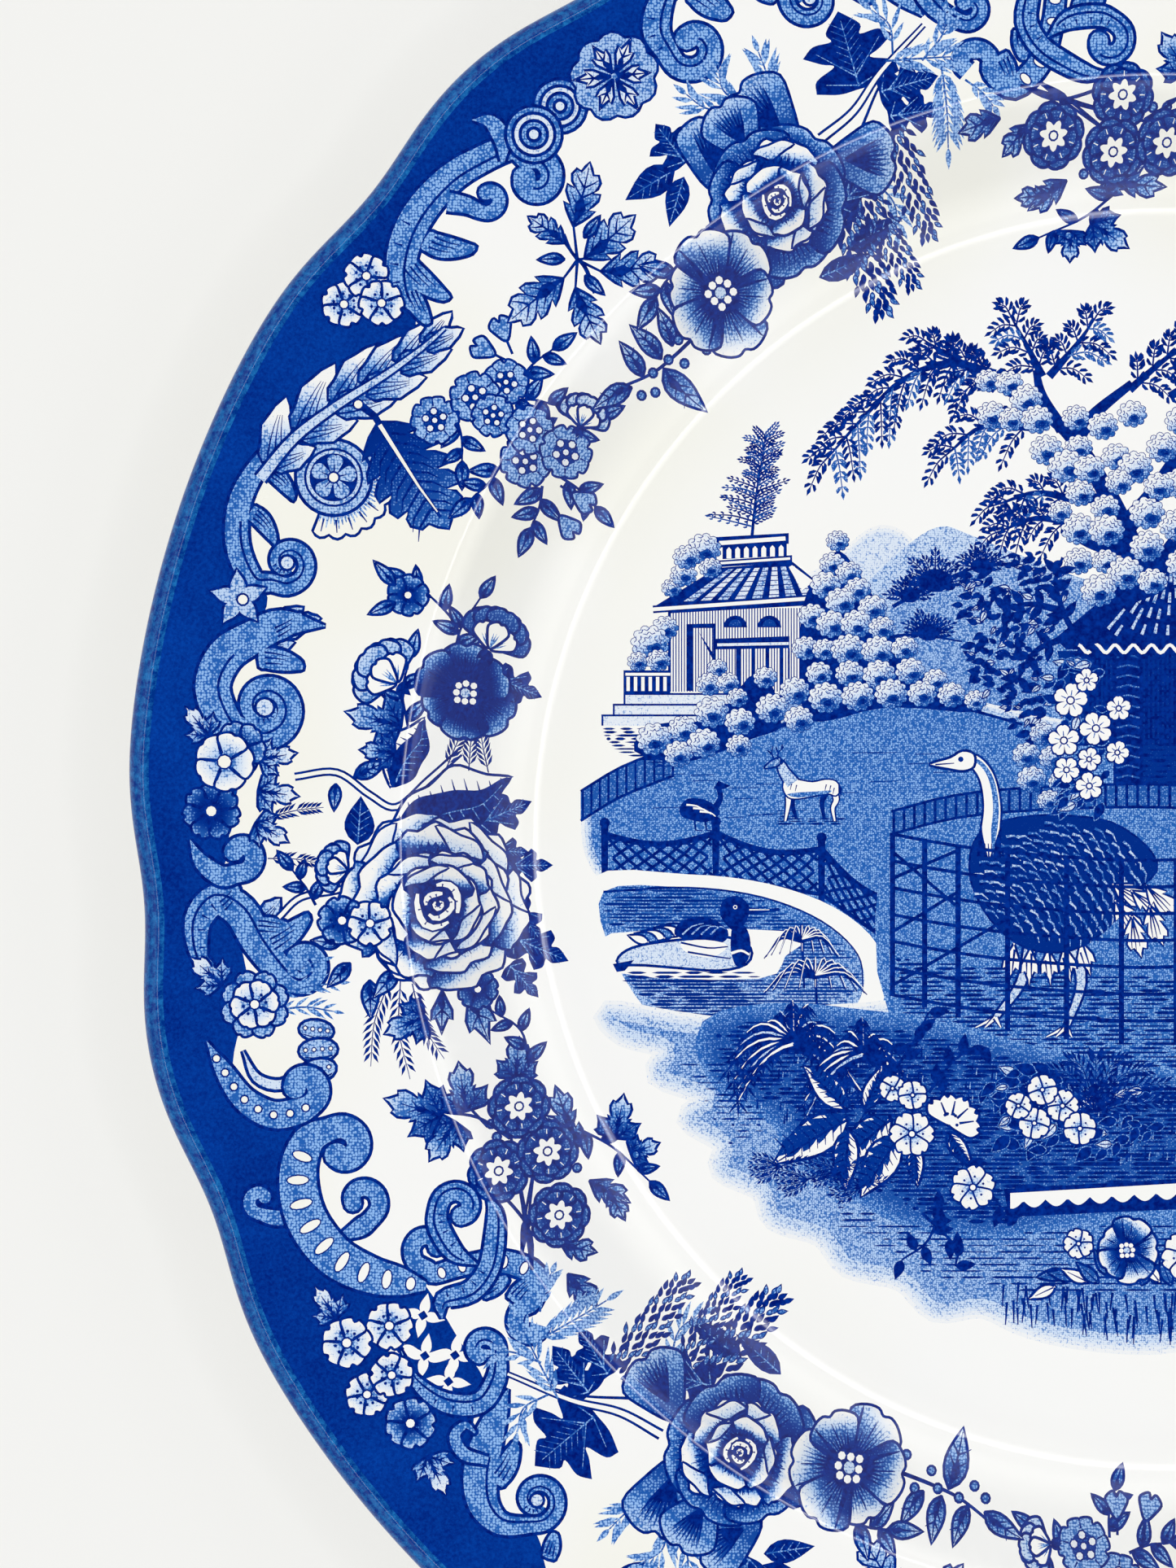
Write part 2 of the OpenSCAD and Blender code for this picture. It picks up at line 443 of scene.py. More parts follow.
def bowl_flower(P, r, seed=0.0, n=6, tone=None):
    """An open flower of cupped petals, white at their edges unless it has a tone, and a knot of stamens."""
    rim = tone or 0.0
    for i in [*range(0, n, 2), *range(1, n, 2)]:
        q = P.at(turn=seed * 25 + 360 * i / n)
        s = r * (1 + 0.1 * math.sin(1.9 * i + seed))
        p = petal(0.1 * s, s, 6.0 * s / n, 0.06)
        dark = rim + (0.75 if i % 2 == 0 else 0.95)
        q.outlined([p], DOTS, dark, end_tone=rim, start=(0.42 * s, 0.12 * s), end=(0.96 * s, -0.08 * s))
        q.fill(comb(0.1 * s, 0.84 * s, -20, 20, 8, 0.4, i + seed), DOTS, min(1, rim + 0.62))
        q.fill(comb(0.1 * s, 0.66 * s, -24, 24, 7, 0.4, i + seed))
        q.fill([(0.2 * s, 0.06 * s), (0.84 * s, 0.32 * s), (0.9 * s, 0.37 * s), (0.2 * s, 0.17 * s)])
        q.stroke([(0.5 * s, 0), (0.82 * s, 0.02 * s)], 0.3, 0.1)
    P.dab(0, 0, 0.32 * r, n=12)
    for i in range(8):
        a = rad(45 * i + seed * 20)
        d = 0.2 * r * (1 + 0.16 * math.sin(2.9 * i))
        P.dab(d * math.cos(a), d * math.sin(a), 0.06 * r + 0.08, WHITE, 0, n=7)
    P.dab(0, 0, 0.1 * r, DOTS, 0.3)


def cup_flower(P, r, tone=0.45, seed=0.0):
    """A flower seen from its side, opening along x."""
    for i, a in enumerate((-62, 62, -32, 32, 0)):
        q = P.at(-0.35 * r, 0, a * 0.8)
        s = r * 1.25
        p = petal(0.1 * s, s, 0.9 * s, 0.03)
        q.outlined([p], DOTS, tone + 0.2, end_tone=tone - 0.15, start=(0, 0), end=(s, 0))
        q.fill(comb(0.1 * s, 0.62 * s, -15, 15, 4, 0.5, i + seed), LINE)
    for a in (-38, 38, 0):
        q = P.at(-0.5 * r, 0, a)
        p = petal(0.1 * r, 0.95 * r, 0.72 * r, 0.05)
        q.outlined([p], WHITE)
        q.fill(comb(0.1 * r, 0.6 * r, -14, 14, 3, 0.5, a), DOTS, 0.5)
    for a in (150, 180, 210):
        P.at(-0.5 * r, 0, a).fill(leaf_shape(0.5 * r, 0.3 * r))


# one side of a five-pointed leaf, from its stalk to its tip: each run ends in a point
IVY_RUNS = (((0, 0), (0.0, 0.22), (0.08, 0.46)),
            ((0.08, 0.46), (0.24, 0.42), (0.35, 0.2), (0.42, 0.32), (0.55, 0.5)),
            ((0.55, 0.5), (0.66, 0.36), (0.66, 0.16), (0.78, 0.19), (1, 0)))


def ivy_shape(length, width):
    half = np.vstack([spline(run, 4)[:-1] for run in IVY_RUNS] + [[(1, 0)]])
    return np.r_[half, half[-2:0:-1] * [1, -1]] * [length, width]


def dark_leaf(P, length, width, lobes=2, bend=0.06, veins=4):
    """A solid dark leaf, five-pointed or plain, its veins lighter."""
    if lobes:
        P.fill(ivy_shape(length, width * 1.2))
        for x, y in ((0.16, 0.4), (0.56, 0.42)):
            for side in (1, -1):
                P.stroke([(0.3 * x * length, 0), (x * length, side * y * width)], 0.2, 0.08, DOTS, 0.5)
        P.stroke([(0.04 * length, 0), (0.88 * length, 0)], 0.24, 0.1, DOTS, 0.5)
        for i in range(7):
            x = (0.22 + 0.09 * i) * length
            for side in (1, -1):
                P.stroke([(x, 0), (x + 0.12 * length, side * 0.16 * width)], 0.14, 0.08, DOTS, 0.62)
        return
    P.fill(leaf_shape(length, width * 1.08, 0, bend))
    P.stroke([(0.06 * length, 0), (0.9 * length, bend * 0.8 * length)], 0.22, 0.1, DOTS, 0.5)
    for i in range(veins):
        x = (0.16 + 0.6 * i / veins) * length
        y = bend * x * x / length
        w = width * 0.32 * math.sin(math.pi * min(1, x / length * 0.9 + 0.1))
        for side in (1, -1):
            P.stroke([(x, y), (x + w * 0.8, y + side * w)], 0.16, 0.08, DOTS, 0.55)


def turned_leaf(P, length, width, bend=0.2):
    """A broad dark leaf whose wavy near edge turns over and shows its white back."""
    t = np.linspace(0, 1, 12)
    wave = 1 + 0.16 * np.sin(13 * t)
    top = np.c_[t * length, np.sin(np.pi * t**0.9) * width * 0.55 * wave + bend * length * t**2]
    low = np.c_[t * length,
                -np.sin(np.pi * t**0.85) * width * 0.5 * (1 + 0.14 * np.sin(11 * t)) + bend * length * t**2]
    P.fill(spline(np.r_[top, low[::-1][1:-1]], 2, True))
    fold = np.c_[t * length,
                 top[:, 1] - np.sin(np.pi * t) ** 0.7 * width * 0.3 * (1 + 0.5 * np.sin(9 * t + 2))]
    P.outlined([spline(np.r_[top, fold[::-1][1:-1]], 2, True)], WHITE)
    for i in range(1, 11):
        P.stroke([fold[i], fold[i] * 0.5 + top[i] * 0.5], 0.3, 0.08)
    P.stroke(spline(np.c_[t * length, low[:, 1] * 0.45 + fold[:, 1] * 0.55][1:-1], 2), 0.24, 0.1, DOTS, 0.5)
    for i in range(2, 10):
        P.stroke([(t[i] * length, low[i, 1] * 0.45 + fold[i, 1] * 0.55),
                  (t[i] * length + 0.6, low[i, 1] * 0.8 + fold[i, 1] * 0.2)], 0.2, 0.08, DOTS, 0.5)


def prunus(P, r, phase=0.0, tone=0.45):
    """A small flower of round petals with a ring of tiny circles at its heart."""
    ps = [Pen(turn=phase + 72 * i).sheet(petal(0.12 * r, r, 1.1 * r, 0.16)) for i in range(5)]
    P.outlined(ps, DOTS, tone, width=0.36)
    P.dab(0, 0, 0.5 * r, DOTS, 0.82, n=10)
    for i in range(5):
        a = rad(phase + 36 + 72 * i)
        ring(P, 0.38 * r * math.cos(a), 0.38 * r * math.sin(a), 0.17 * r + 0.12, 0.26, DOTS, 0.1, 7)
        P.at(turn=phase + 36 + 72 * i).stroke([(0.6 * r, 0), (0.82 * r, 0)], 0.28, 0.16)
    ring(P, 0, 0, 0.14 * r + 0.16, 0.26, DOTS, 0.1, 7)


# ---------------------------------------------------------------- scrollwork
def coil(x, y, r, start, sweep, w0, w1, inner=0.38):
    """The line of a volute about (x, y): from radius r at angle start inwards, (x, y, width) each.

    One of more than a full turn winds to a thin eye, and a shorter one ends in a fat knob.
    """
    if abs(sweep) < 400:
        sweep, inner, w1 = 0.78 * sweep, 0.42, 1.02 * w0
    n = max(3, int(abs(sweep) / 38))
    t = np.linspace(0, 1, n + 1)[:, None]
    a = np.radians(start + sweep * t)
    rr = r * (1 - (1 - inner) * t)
    return np.c_[x + rr * np.cos(a), y + rr * np.sin(a), w0 + (w1 - w0) * t]


def scroll(P, line, tone=0.5, eye=True, rib=0.0, width=0.5, lobes=()):
    """A stippled ribbon along (x, y, width) points with a dark outline; rib offsets an inner line.

    Lobes, (x, y, length, width, turn, curl) each, melt into the ribbon.
    """
    s = spline(line, 4)
    p, w = s[:, :2], np.maximum(s[:, 2], 0.05)
    shapes = [lobe_shape(P, *lobe) for lobe in lobes]
    for shape in shapes:
        P.fill(grown(shape, width / 2))
    P.fill(ribbon(p, w + width))
    if eye:
        P.dab(p[-1, 0], p[-1, 1], w[-1] * 0.5 + width / 2, n=12)
    for shape in shapes:
        P.fill(grown(shape, -width / 2), DOTS, tone)
    P.fill(ribbon(p, np.maximum(w - width, 0.04)), DOTS, tone)
    if eye:
        P.dab(p[-1, 0], p[-1, 1], w[-1] * 0.5 - width / 2 + 0.05, DOTS, tone, n=12)
    for each in lobes:
        lobe_veins(P, *each)
    if rib:
        q = p + normals(p, False) * (rib * w / 2)[:, None]
        k = slice(2, max(4, int(len(q) * 0.86)))
        P.fill(ribbon(q[k], np.minimum(w[k] * 0.1, 0.32) + 0.06), LINE)
        for i in range(3, min(len(p) - 2, 12), 2):
            n = normals(p, False)[i] * w[i]
            P.stroke([p[i] - n * 0.06 * rib / abs(rib), p[i] - n * 0.34 * rib / abs(rib)], 0.34, 0.1)
    return s


def slots(P, s, n, length=0.56, width=0.9, start=0.06, end=0.94):
    """White oval slots across a ribbon."""
    d = run_along(s[:, :2])
    nrm = normals(s[:, :2], False)
    for i in range(n):
        t = d[-1] * (start + (end - start) * i / (n - 1))
        x, y, w = (np.interp(t, d, s[:, k]) for k in range(3))
        nx, ny = (np.interp(t, d, nrm[:, k]) for k in range(2))
        q = P.at(x, y, heading((nx, ny)))
        q.fill(disc(0, 0, 1, 12) * [w * length / 2 + 0.22, width / 2 + 0.22])
        q.fill(disc(0, 0, 1, 12) * [w * length / 2, width / 2], WHITE, 0)


def pearls(P, s, n, r=0.55, start=0.06, end=0.92, tone=0.0):
    """A row of small ringed pearls along a ribbon."""
    d = run_along(s[:, :2])
    for i in range(n):
        t = d[-1] * (start + (end - start) * i / (n - 1))
        x, y = (np.interp(t, d, s[:, k]) for k in range(2))
        P.dab(x, y, r + 0.22, n=9)
        P.dab(x, y, r - 0.02, WHITE if tone == 0 else DOTS, tone, n=9)


def lobe_shape(P, x, y, length, width, turn, curl=0.0):
    """One rounded, hooked lobe of a scroll leaf from (x, y), on the sheet."""
    t = np.linspace(0, 1, 7)
    half = np.sin(np.pi * np.clip(0.2 + 0.74 * t, 0, 1)) ** 0.6 * width / 2
    middle = curl * t**2 * length
    p = np.r_[np.c_[t * length, middle + half], np.c_[t * length, middle - half][::-1]]
    return P.at(x, y, turn).sheet(spline(p, 2, True))


def lobe_veins(P, x, y, length, width, turn, curl):
    """Three engraved lines that fan out from the root of a lobe."""
    q = P.at(x, y, turn)
    for j in (-0.2, 0.05, 0.28):
        t = np.linspace(0.16, 0.62 + 0.3 * j, 4)
        q.stroke(np.c_[t * length, curl * t**2 * length + j * width * (1 - 0.4 * t)], 0.34, 0.1)


def lobe(P, x, y, length, width, turn, tone=0.5, curl=0.0):
    """A lobe that stands alone."""
    P.outlined([lobe_shape(P, x, y, length, width, turn, curl)], DOTS, tone, width=0.46)
    lobe_veins(P, x, y, length, width, turn, curl)


def acanthus(P, spine, sizes, side=1, tone=0.5, light=0.05, width=0.46, lean=46):
    """Pointed lobes along one side of a spine, lighter towards their tips."""
    s = spline(spine, 5)
    n = len(sizes)
    for i, (length, w) in enumerate(sizes):
        k = min(len(s) - 2, 1 + int((len(s) - 3) * (i + 0.35) / n))
        d = s[k + 1] - s[k - 1]
        a = heading(d) + side * lean * (1 - 0.45 * i / n)
        q = P.at(s[k, 0], s[k, 1], a)
        t = np.linspace(0, 1, 8)
        half = np.sin(np.pi * np.clip(0.2 + 0.8 * t, 0, 1)) ** 0.62 * w / 2 * (1 + 0.12 * np.sin(14 * t))
        b = -side * 0.2 * length * t**2
        p = np.r_[np.c_[t * length, b + half], np.c_[t * length, b - half][::-1][1:]]
        q.outlined([p], DOTS, tone, width=width, end_tone=light, start=(0.2 * length, 0), end=(length, 0))
        for j in (-0.3, -0.05, 0.2):
            q.stroke(np.c_[t * length, b + j * w * (1 - t)][:6], 0.32, 0.08)


def half_rings(P, r, n=4, tone=0.5):
    """Concentric rings, drawn from the outside in."""
    for k in range(n):
        rr = r * (1 - k / n)
        P.dab(0, 0, rr + 0.1, n=22)
        P.dab(0, 0, rr - 0.4, DOTS, tone - 0.3 * (k % 2), n=22)


# ---------------------------------------------------------------- the border
# The border is set out by angle and radius. Three repeats go round the rim. The one between
# FIRST_A and FIRST_A - PITCH has its own pitch, and the other two are spread over what is left.
FIRST_A, PITCH, EVEN_TO = 228.0, 113.0, 84.0


def rim_angle_of(a):
    """The true angle on the platter of border angle a, which runs on below 0."""
    rest = FIRST_A - EVEN_TO
    wide = (360 - rest) / (3 * PITCH - rest)
    return a if a > EVEN_TO else EVEN_TO - (EVEN_TO - a) * wide


class Rim:
    """One repeat of the border; its pens have x clockwise along the rim and y outwards."""

    def __init__(self, k):
        self.shift = -PITCH * k

    def angle(self, a):
        return rim_angle_of(a + self.shift)

    def point(self, a, r):
        return unit(self.angle(a)) * r

    def pen(self, a, r, turn=0.0, size=1.0, flip=False):
        x, y = self.point(a, r)
        return Pen(x, y, self.angle(a) - 90 + turn, size, flip)

    def line(self, *points):
        """Points as (angle, radius, ...) turned into sheet points with the rest kept."""
        return np.array([[*self.point(p[0], p[1]), *p[2:]] for p in points])

    def coil(self, a, r, radius, start, sweep, w0, w1, inner=0.38):
        c = coil(0, 0, radius, start, sweep, w0, w1, inner)
        return np.c_[self.pen(a, r).sheet(c[:, :2]), c[:, 2]]


def band_edge(R):
    """The inner edge of the solid band through one repeat, behind the scrollwork."""
    return R.line((229.5, 140), (227.6, 137), (226, 139), (224, 138), (222, 135.5), (220.4, 133.5),
                  (219.4, 131), (218.6, 127.6), (215, 126.8), (211, 126.6), (209.8, 128.5), (208, 133.5),
                  (205, 137), (202, 136.5), (199.4, 133), (197.9, 131.6), (197, 136), (194.4, 140.6),
                  (192, 139), (190, 136), (188, 136), (186, 136.6), (184, 138.6), (182.2, 138.6),
                  (181, 137.4), (179, 137), (176.5, 136), (174.4, 136.4), (172.6, 138), (170, 141),
                  (168, 139.4), (166.6, 136.6), (165, 136.2), (163.8, 139), (161.5, 143), (158.5, 143.6),
                  (156.8, 141), (153.6, 136), (150, 133), (147, 132.6), (145.4, 133.6), (144, 139),
                  (141.5, 142.4), (138, 142.8), (135, 141), (133.6, 137), (131.6, 136.2), (129.4, 136.4),
                  (127.4, 135), (124.4, 135), (122.6, 137), (120.6, 141.6), (118.4, 142))


def draw_band(edge):
    """Solid cobalt from the edge of the rim to the scrollwork, drawn as strips of the ring."""
    reps = [Rim(k) for k in range(3)]
    inner = np.concatenate([band_edge(R) for R in reps])
    inner = spline(inner, 3, True)
    n = len(inner)
    a = np.unwrap(np.arctan2(inner[:, 1], inner[:, 0]))
    outer = np.c_[edge * np.cos(a), edge * np.sin(a)]
    step = 12
    pen = Pen()
    for i in range(0, n, step):
        k = np.arange(i, min(n, i + step) + 1) % n
        pen.fill(np.r_[inner[k], outer[k][::-1]], BAND)


def eye(R, a, r, size, tone=0.25):
    """The round eye of a volute."""
    P = Pen()
    P.dab(*R.point(a, r), size, n=12)
    P.dab(*R.point(a, r), size - PEN_W, DOTS, tone, n=12)


def hook(R, a, r, length, width, turn, curl):
    """A lobe of a scroll leaf, turned from the rim's outward direction."""
    return (*R.point(a, r), length, width, R.angle(a) - 90 + turn, curl)


def rim_scrolls(R):
    lattice_scrolls(R)
    pierced_scrolls(R)
    leafy_scrolls(R)
    frilled_ring(R.pen(156.6, 132.9), 5.6)
    scroll(Pen(),
           np.r_[R.coil(162.6, 134.9, 3.7, 160, 420, 3.0, 2.0, 0.18)[::-1],
                 R.line((164.2, 139, 3.6), (162.4, 142.6, 3.8), (159.8, 144.2, 3.6), (157, 143, 2.8),
                        (155.4, 140.6, 1.0))],
           eye=False, rib=0.3,
           lobes=(hook(R, 160.4, 142.4, 5.6, 3.0, -98, -0.4), hook(R, 157.8, 142, 5.2, 2.8, -92, -0.4)))
    eye(R, 162.6, 134.9, 1.3)
    great_leaf(R)
    arched_scrolls(R)


def lattice_scrolls(R):
    """The lattice, the S-scroll with a leafy end, the ribbon round the lattice and the crossing straps."""
    P = Pen()
    lattice(R)
    acanthus(P, R.line((223.6, 138), (221.6, 133.6), (220.6, 129.6))[:, :2], ((4.6, 2.6), (4.4, 2.6)), -1,
             0.5, 0.25)
    scroll(P,
           np.r_[R.coil(226.2, 133.4, 3.7, 118, 420, 2.7, 2.0, 0.22)[::-1],
                 R.line((225.6, 139.4, 3.6), (224, 139.2, 4.8), (222.5, 136.4, 5.4), (221.3, 132.4, 4.8),
                        (220.4, 128.6, 3.2), (219.7, 125.4, 0.3))],
           eye=False, rib=0.35, lobes=(hook(R, 223.6, 136, 6.6, 3.4, -84, 0.2),))
    eye(R, 226.2, 133.4, 1.25)
    scroll(P,
           R.line((222.3, 134.5, 1.6), (221, 136.4, 2.2), (219.8, 135.8, 2.0), (219.7, 133.6, 1.5),
                  (220.4, 133.2, 0.8)))
    scroll(P,
           np.r_[R.line((213.6, 134.6, 0.3), (215.6, 135.4, 2.0), (217.8, 133.8, 3.2), (219.2, 130, 3.4),
                        (218.7, 126, 3.2)), R.coil(216.6, 124.9, 2.4, 215, 330, 2.6, 1.8)],
           rib=-0.3)
    scroll(P, np.r_[R.coil(217.2, 116.9, 3.0, 320, 330, 2.8, 2.0)[::-1],
                    R.line((214.6, 112.4, 3.6), (212.4, 115.2, 3.6), (211.2, 120, 3.2), (210.6, 124.6, 3.0)),
                    R.coil(208.9, 123.6, 3.0, 150, -330, 2.8, 2.0)],
           lobes=(hook(R, 215.2, 117.4, 5.4, 3.2, -70, -0.2), hook(R, 213.4, 120.4, 4.6, 2.8, -100, 0.1)))
    pierced = R.line((214.4, 112.2, 3.6), (212.4, 115.2, 3.6), (211.2, 120, 3.4), (210.7, 124.4, 3.0))
    slots(P, spline(pierced, 5), 5, 0.5, 1.0, 0.12, 0.95)
    scroll(P,
           R.line((213.4, 127.2, 0.4), (212.4, 125.6, 2.8), (212.9, 121.4, 3.4), (212.2, 117.4, 3.4),
                  (210.4, 114.2, 3.2), (208.9, 112.6, 2.4), (207.6, 112.6, 0.3)),
           eye=False, rib=0.3)
    scroll(P,
           np.r_[R.line((211.6, 118.6, 0.5), (210, 120.6, 3.0), (208, 120.8, 3.4)),
                 R.coil(207.4, 117, 3.0, 70, -330, 3.0, 1.9)],
           rib=-0.3)


def pierced_scrolls(R):
    """The pierced scroll with its two volutes, and the string of pearls with a shell below it."""
    P = Pen()
    scroll(P,
           np.r_[R.line((203.6, 137, 1.2), (203, 141, 2.6)), R.coil(201.6, 142.6, 2.0, 160, -300, 2.2, 1.8)])
    scroll(P,
           np.r_[R.line((205.6, 134, 1.4), (205.6, 131, 3.0)), R.coil(204.1, 129.2, 3.0, 180, 330, 2.8, 1.9)])
    main = np.r_[R.line((211, 126.6, 1.6), (209.9, 129.4, 4.4), (208.5, 132.9, 5.6), (206.4, 136.2, 6.2),
                        (203.6, 137.5, 6.2), (201, 136.2, 5.8), (199.3, 133.2, 5.0)),
                 R.coil(200.4, 128.8, 3.3, 20, -330, 3.8, 2.0)]
    scroll(P, main)
    slots(P, spline(main[:7], 6), 9, 0.52, 1.25, 0.07, 0.93)
    shell(R.pen(192.6, 127.6, -20), 2.6)
    shell(R.pen(193.9, 128, -10), 2.9)
    shell(R.pen(195.2, 129, 0), 3.0)
    scroll(P, R.line((192.8, 138.6, 0.4), (194.6, 137.6, 1.6), (195.4, 134.4, 1.8), (194.8, 131, 1.4)), 0.25,
           False)
    pearled = np.r_[R.line((191.8, 143.4, 0.4), (193.6, 142, 2.8), (195.6, 140.2, 3.8), (197, 137, 4.3),
                           (197.3, 133.4, 4.2)), R.coil(196, 131.6, 2.7, 190, 300, 3.6, 2.0)]
    scroll(P, pearled)
    pearls(P, spline(pearled[:6], 6), 8, 0.5, 0.14, 0.96)


def leafy_scrolls(R):
    """The leafy scroll, the small one beside it, the large C-scroll and their hooks."""
    P = Pen()
    acanthus(P, R.line((187, 135.4), (185.6, 134), (184.2, 133.2))[:, :2], ((5.6, 3.2), (5.2, 3.2)), -1, 0.5,
             0.3, lean=56)
    scroll(P,
           np.r_[R.line((187.6, 140.6, 1.2), (186.8, 142.4, 2.8), (184.8, 142.2, 4.2), (183.6, 139.4, 4.8),
                        (184.4, 136, 5.2), (186.4, 133.8, 5.0), (188.2, 131.4, 4.4)),
                 R.coil(188.2, 127.9, 2.8, 150, 300, 3.6, 2.2)],
           rib=-0.3,
           lobes=(hook(R, 186.9, 133, 8.0, 3.6, -72, 0.2), hook(R, 185.4, 134.6, 6.6, 3.4, -96, -0.1),
                  hook(R, 184.2, 139, 4.4, 3.0, -60, 0.3)))
    scroll(P,
           np.r_[R.line((180, 142.8, 0.4), (181.3, 141.2, 2.6), (182.2, 138.4, 3.3)),
                 R.coil(181, 135.6, 2.7, 165, 320, 3.1, 1.9)])
    acanthus(P, R.line((168.6, 137), (166.6, 133.6), (165.6, 131))[:, :2],
             ((5.8, 3.0), (5.8, 3.0), (4.8, 2.6)), -1, 0.5, 0.35)
    acanthus(P, R.line((167.4, 136), (165.9, 132.4))[:, :2], ((4.6, 2.6), (4.6, 2.6)), 1, 0.5, 0.35, lean=20)
    scroll(P,
           np.r_[R.coil(171.7, 133.4, 4.7, 150, 480, 4.4, 2.4, 0.16)[::-1],
                 R.line((173, 138.6, 5.2), (171, 141.3, 5.4), (169, 140.3, 5.6), (167.6, 137, 5.2),
                        (166.3, 133, 4.4), (165.8, 127, 0.3))],
           eye=False, rib=0.3,
           lobes=(hook(R, 168.8, 135.6, 6.6, 3.6, -76, -0.2), hook(R, 167.2, 134.4, 5.4, 3.0, -56, 0.2)))
    eye(R, 171.7, 133.4, 1.6)


def arched_scrolls(R):
    """The arched scroll with its hooks, the rings, the leafy patch and the scroll that ends the repeat."""
    P = Pen()
    scroll(P,
           np.r_[R.line((145.2, 133.6, 0.5), (144.4, 137.6, 3.6), (142.8, 140.6, 4.8), (140.4, 142.4, 5.0),
                        (137.6, 142.4, 4.6), (135.4, 141, 4.2), (133.4, 139, 4.0)),
                 R.coil(133.9, 133.8, 3.3, 70, -380, 3.6, 2.0)],
           rib=0.25,
           lobes=(hook(R, 142.9, 140, 8.2, 3.8, -112, 0.3), hook(R, 141.2, 139.6, 7.2, 3.8, -82, 0.34),
                  hook(R, 144, 137.4, 6.4, 3.0, -122, 0.1)))
    scroll(P,
           np.r_[R.line((138.6, 140.4, 3.2), (138, 138, 2.8)), R.coil(136.8, 136.4, 2.2, 190, 300, 2.4, 1.6)])
    scroll(P, R.line((134.2, 146, 0.4), (133.5, 144, 2.4), (133.7, 141, 2.8), (134.6, 138.6, 1.0)), eye=False)
    half_rings(R.pen(129.8, 139), 4.1)
    half_rings(R.pen(132.1, 138.4), 4.3)
    patch(R)
    scroll(P,
           np.r_[R.line((118.6, 144.6, 0.6), (120.8, 143.6, 3.4), (122.4, 140, 4.4)),
                 R.coil(121.1, 134.8, 3.8, 158, 380, 3.6, 2.0)],
           rib=-0.3, lobes=(hook(R, 119.4, 142, 6.6, 4.2, -70, 0.1),))
    lobe(P, *R.point(116, 138.6), 4.0, 2.6, R.angle(116) - 90 - 70, 0.5, 0.1)


def lattice(R):
    """A patch of white four-petalled lattice on solid cobalt."""
    for a, r in ((216.9, 131.6), (214.7, 132.2), (212.5, 129.2), (215.8, 128.6), (213.4, 134.6)):
        for i in range(4):
            q = R.pen(a, r, 45 + 90 * i)
            q.fill(leaf_shape(3.3, 1.7), WHITE, 0)
        R.pen(a, r, 45).fill(np.array([(-0.75, 0), (0, -0.75), (0.75, 0), (0, 0.75)]))


def shell(P, r):
    """One pearled segment of a shell."""
    e = disc(0, 0, 1, 16) * [r * 0.62, r]
    P.outlined([e], DOTS, 0.42, width=0.46)
    for i in range(4):
        y = (i - 1.5) * r * 0.42
        P.dab(0.05 * r, y, 0.42, n=7)
        P.dab(0.05 * r, y, 0.24, WHITE, 0, n=7)
    P.stroke([(-r * 0.3, -r * 0.7), (-r * 0.42, 0), (-r * 0.3, r * 0.7)], 0.24, 0.16)


def frilled_ring(P, r):
    """A rosette in a moulded ring with a frill below it."""
    n = 9
    a = np.linspace(-178, -28, n * 4 + 1)
    rr = r * 1.5 + 0.6 * np.abs(np.sin(np.linspace(0, n * math.pi, n * 4 + 1)))
    p = np.r_[[(0, 0)], np.c_[rr * np.cos(np.radians(a)), rr * np.sin(np.radians(a))]]
    P.fill(grown(p, 0.24))
    P.fill(grown(p, -0.2), WHITE, 0)
    for i in range(30):
        P.at(turn=-175 + 4.9 * i).stroke(
            [(r, 0), (r * (1.2 + 0.14 * math.sin(2.2 * i) ** 2), 0)], 0.5, 0.12, DOTS, 0.42)
    for i in range(n):
        P.at(turn=-170 + 16.7 * i).stroke([(r * 1.1, 0), (r * 1.44, 0)], 0.3, 0.14)
    P.dab(0, 0, r + 0.2, n=30)
    P.dab(0, 0, r - 0.3, DOTS, 0.4, n=30)
    P.dab(0, 0, r - 1.3, n=26)
    P.dab(0, 0, r - 1.65, DOTS, 0.32, n=26)
    P.dab(0, 0, r - 2.1, n=26)
    for i in range(5):
        P.at(turn=18 + 72 * i).fill(petal(0.4, r - 2.3, 2.3, 0.05), DOTS, 0.4)
        P.at(turn=18 + 72 * i).stroke([(0.9, 0), (1.9, 0)], 0.24, 0.12)
    P.dab(0, 0, 0.95, n=12)
    P.dab(0, 0, 0.66, WHITE, 0, n=12)


def great_leaf(R):
    """A long leaf that lies over the band, its lobes white at their tips."""
    P = Pen()
    spine = R.line((158.4, 142.6), (155.4, 140.4), (152.4, 136.8), (149.4, 133), (146.8, 130.6),
                   (144.8, 129.4))
    acanthus(P, spine, ((9.6, 4.6), (10.8, 4.8), (10.8, 4.8), (10.0, 4.4), (8.4, 3.8), (6.0, 3.0)), 1, 0.6,
             -0.35, lean=38)
    acanthus(P, spine, ((6.4, 3.8), (8.0, 4.2), (8.8, 4.4), (8.6, 4.2), (7.6, 3.8), (5.8, 3.0)), -1, 0.55,
             0.0, lean=44)
    s = spline(spine, 5)
    P.fill(ribbon(s, np.linspace(2.4, 0.9, len(s))))
    P.fill(ribbon(s, np.linspace(1.5, 0.3, len(s))), DOTS, 0.3)


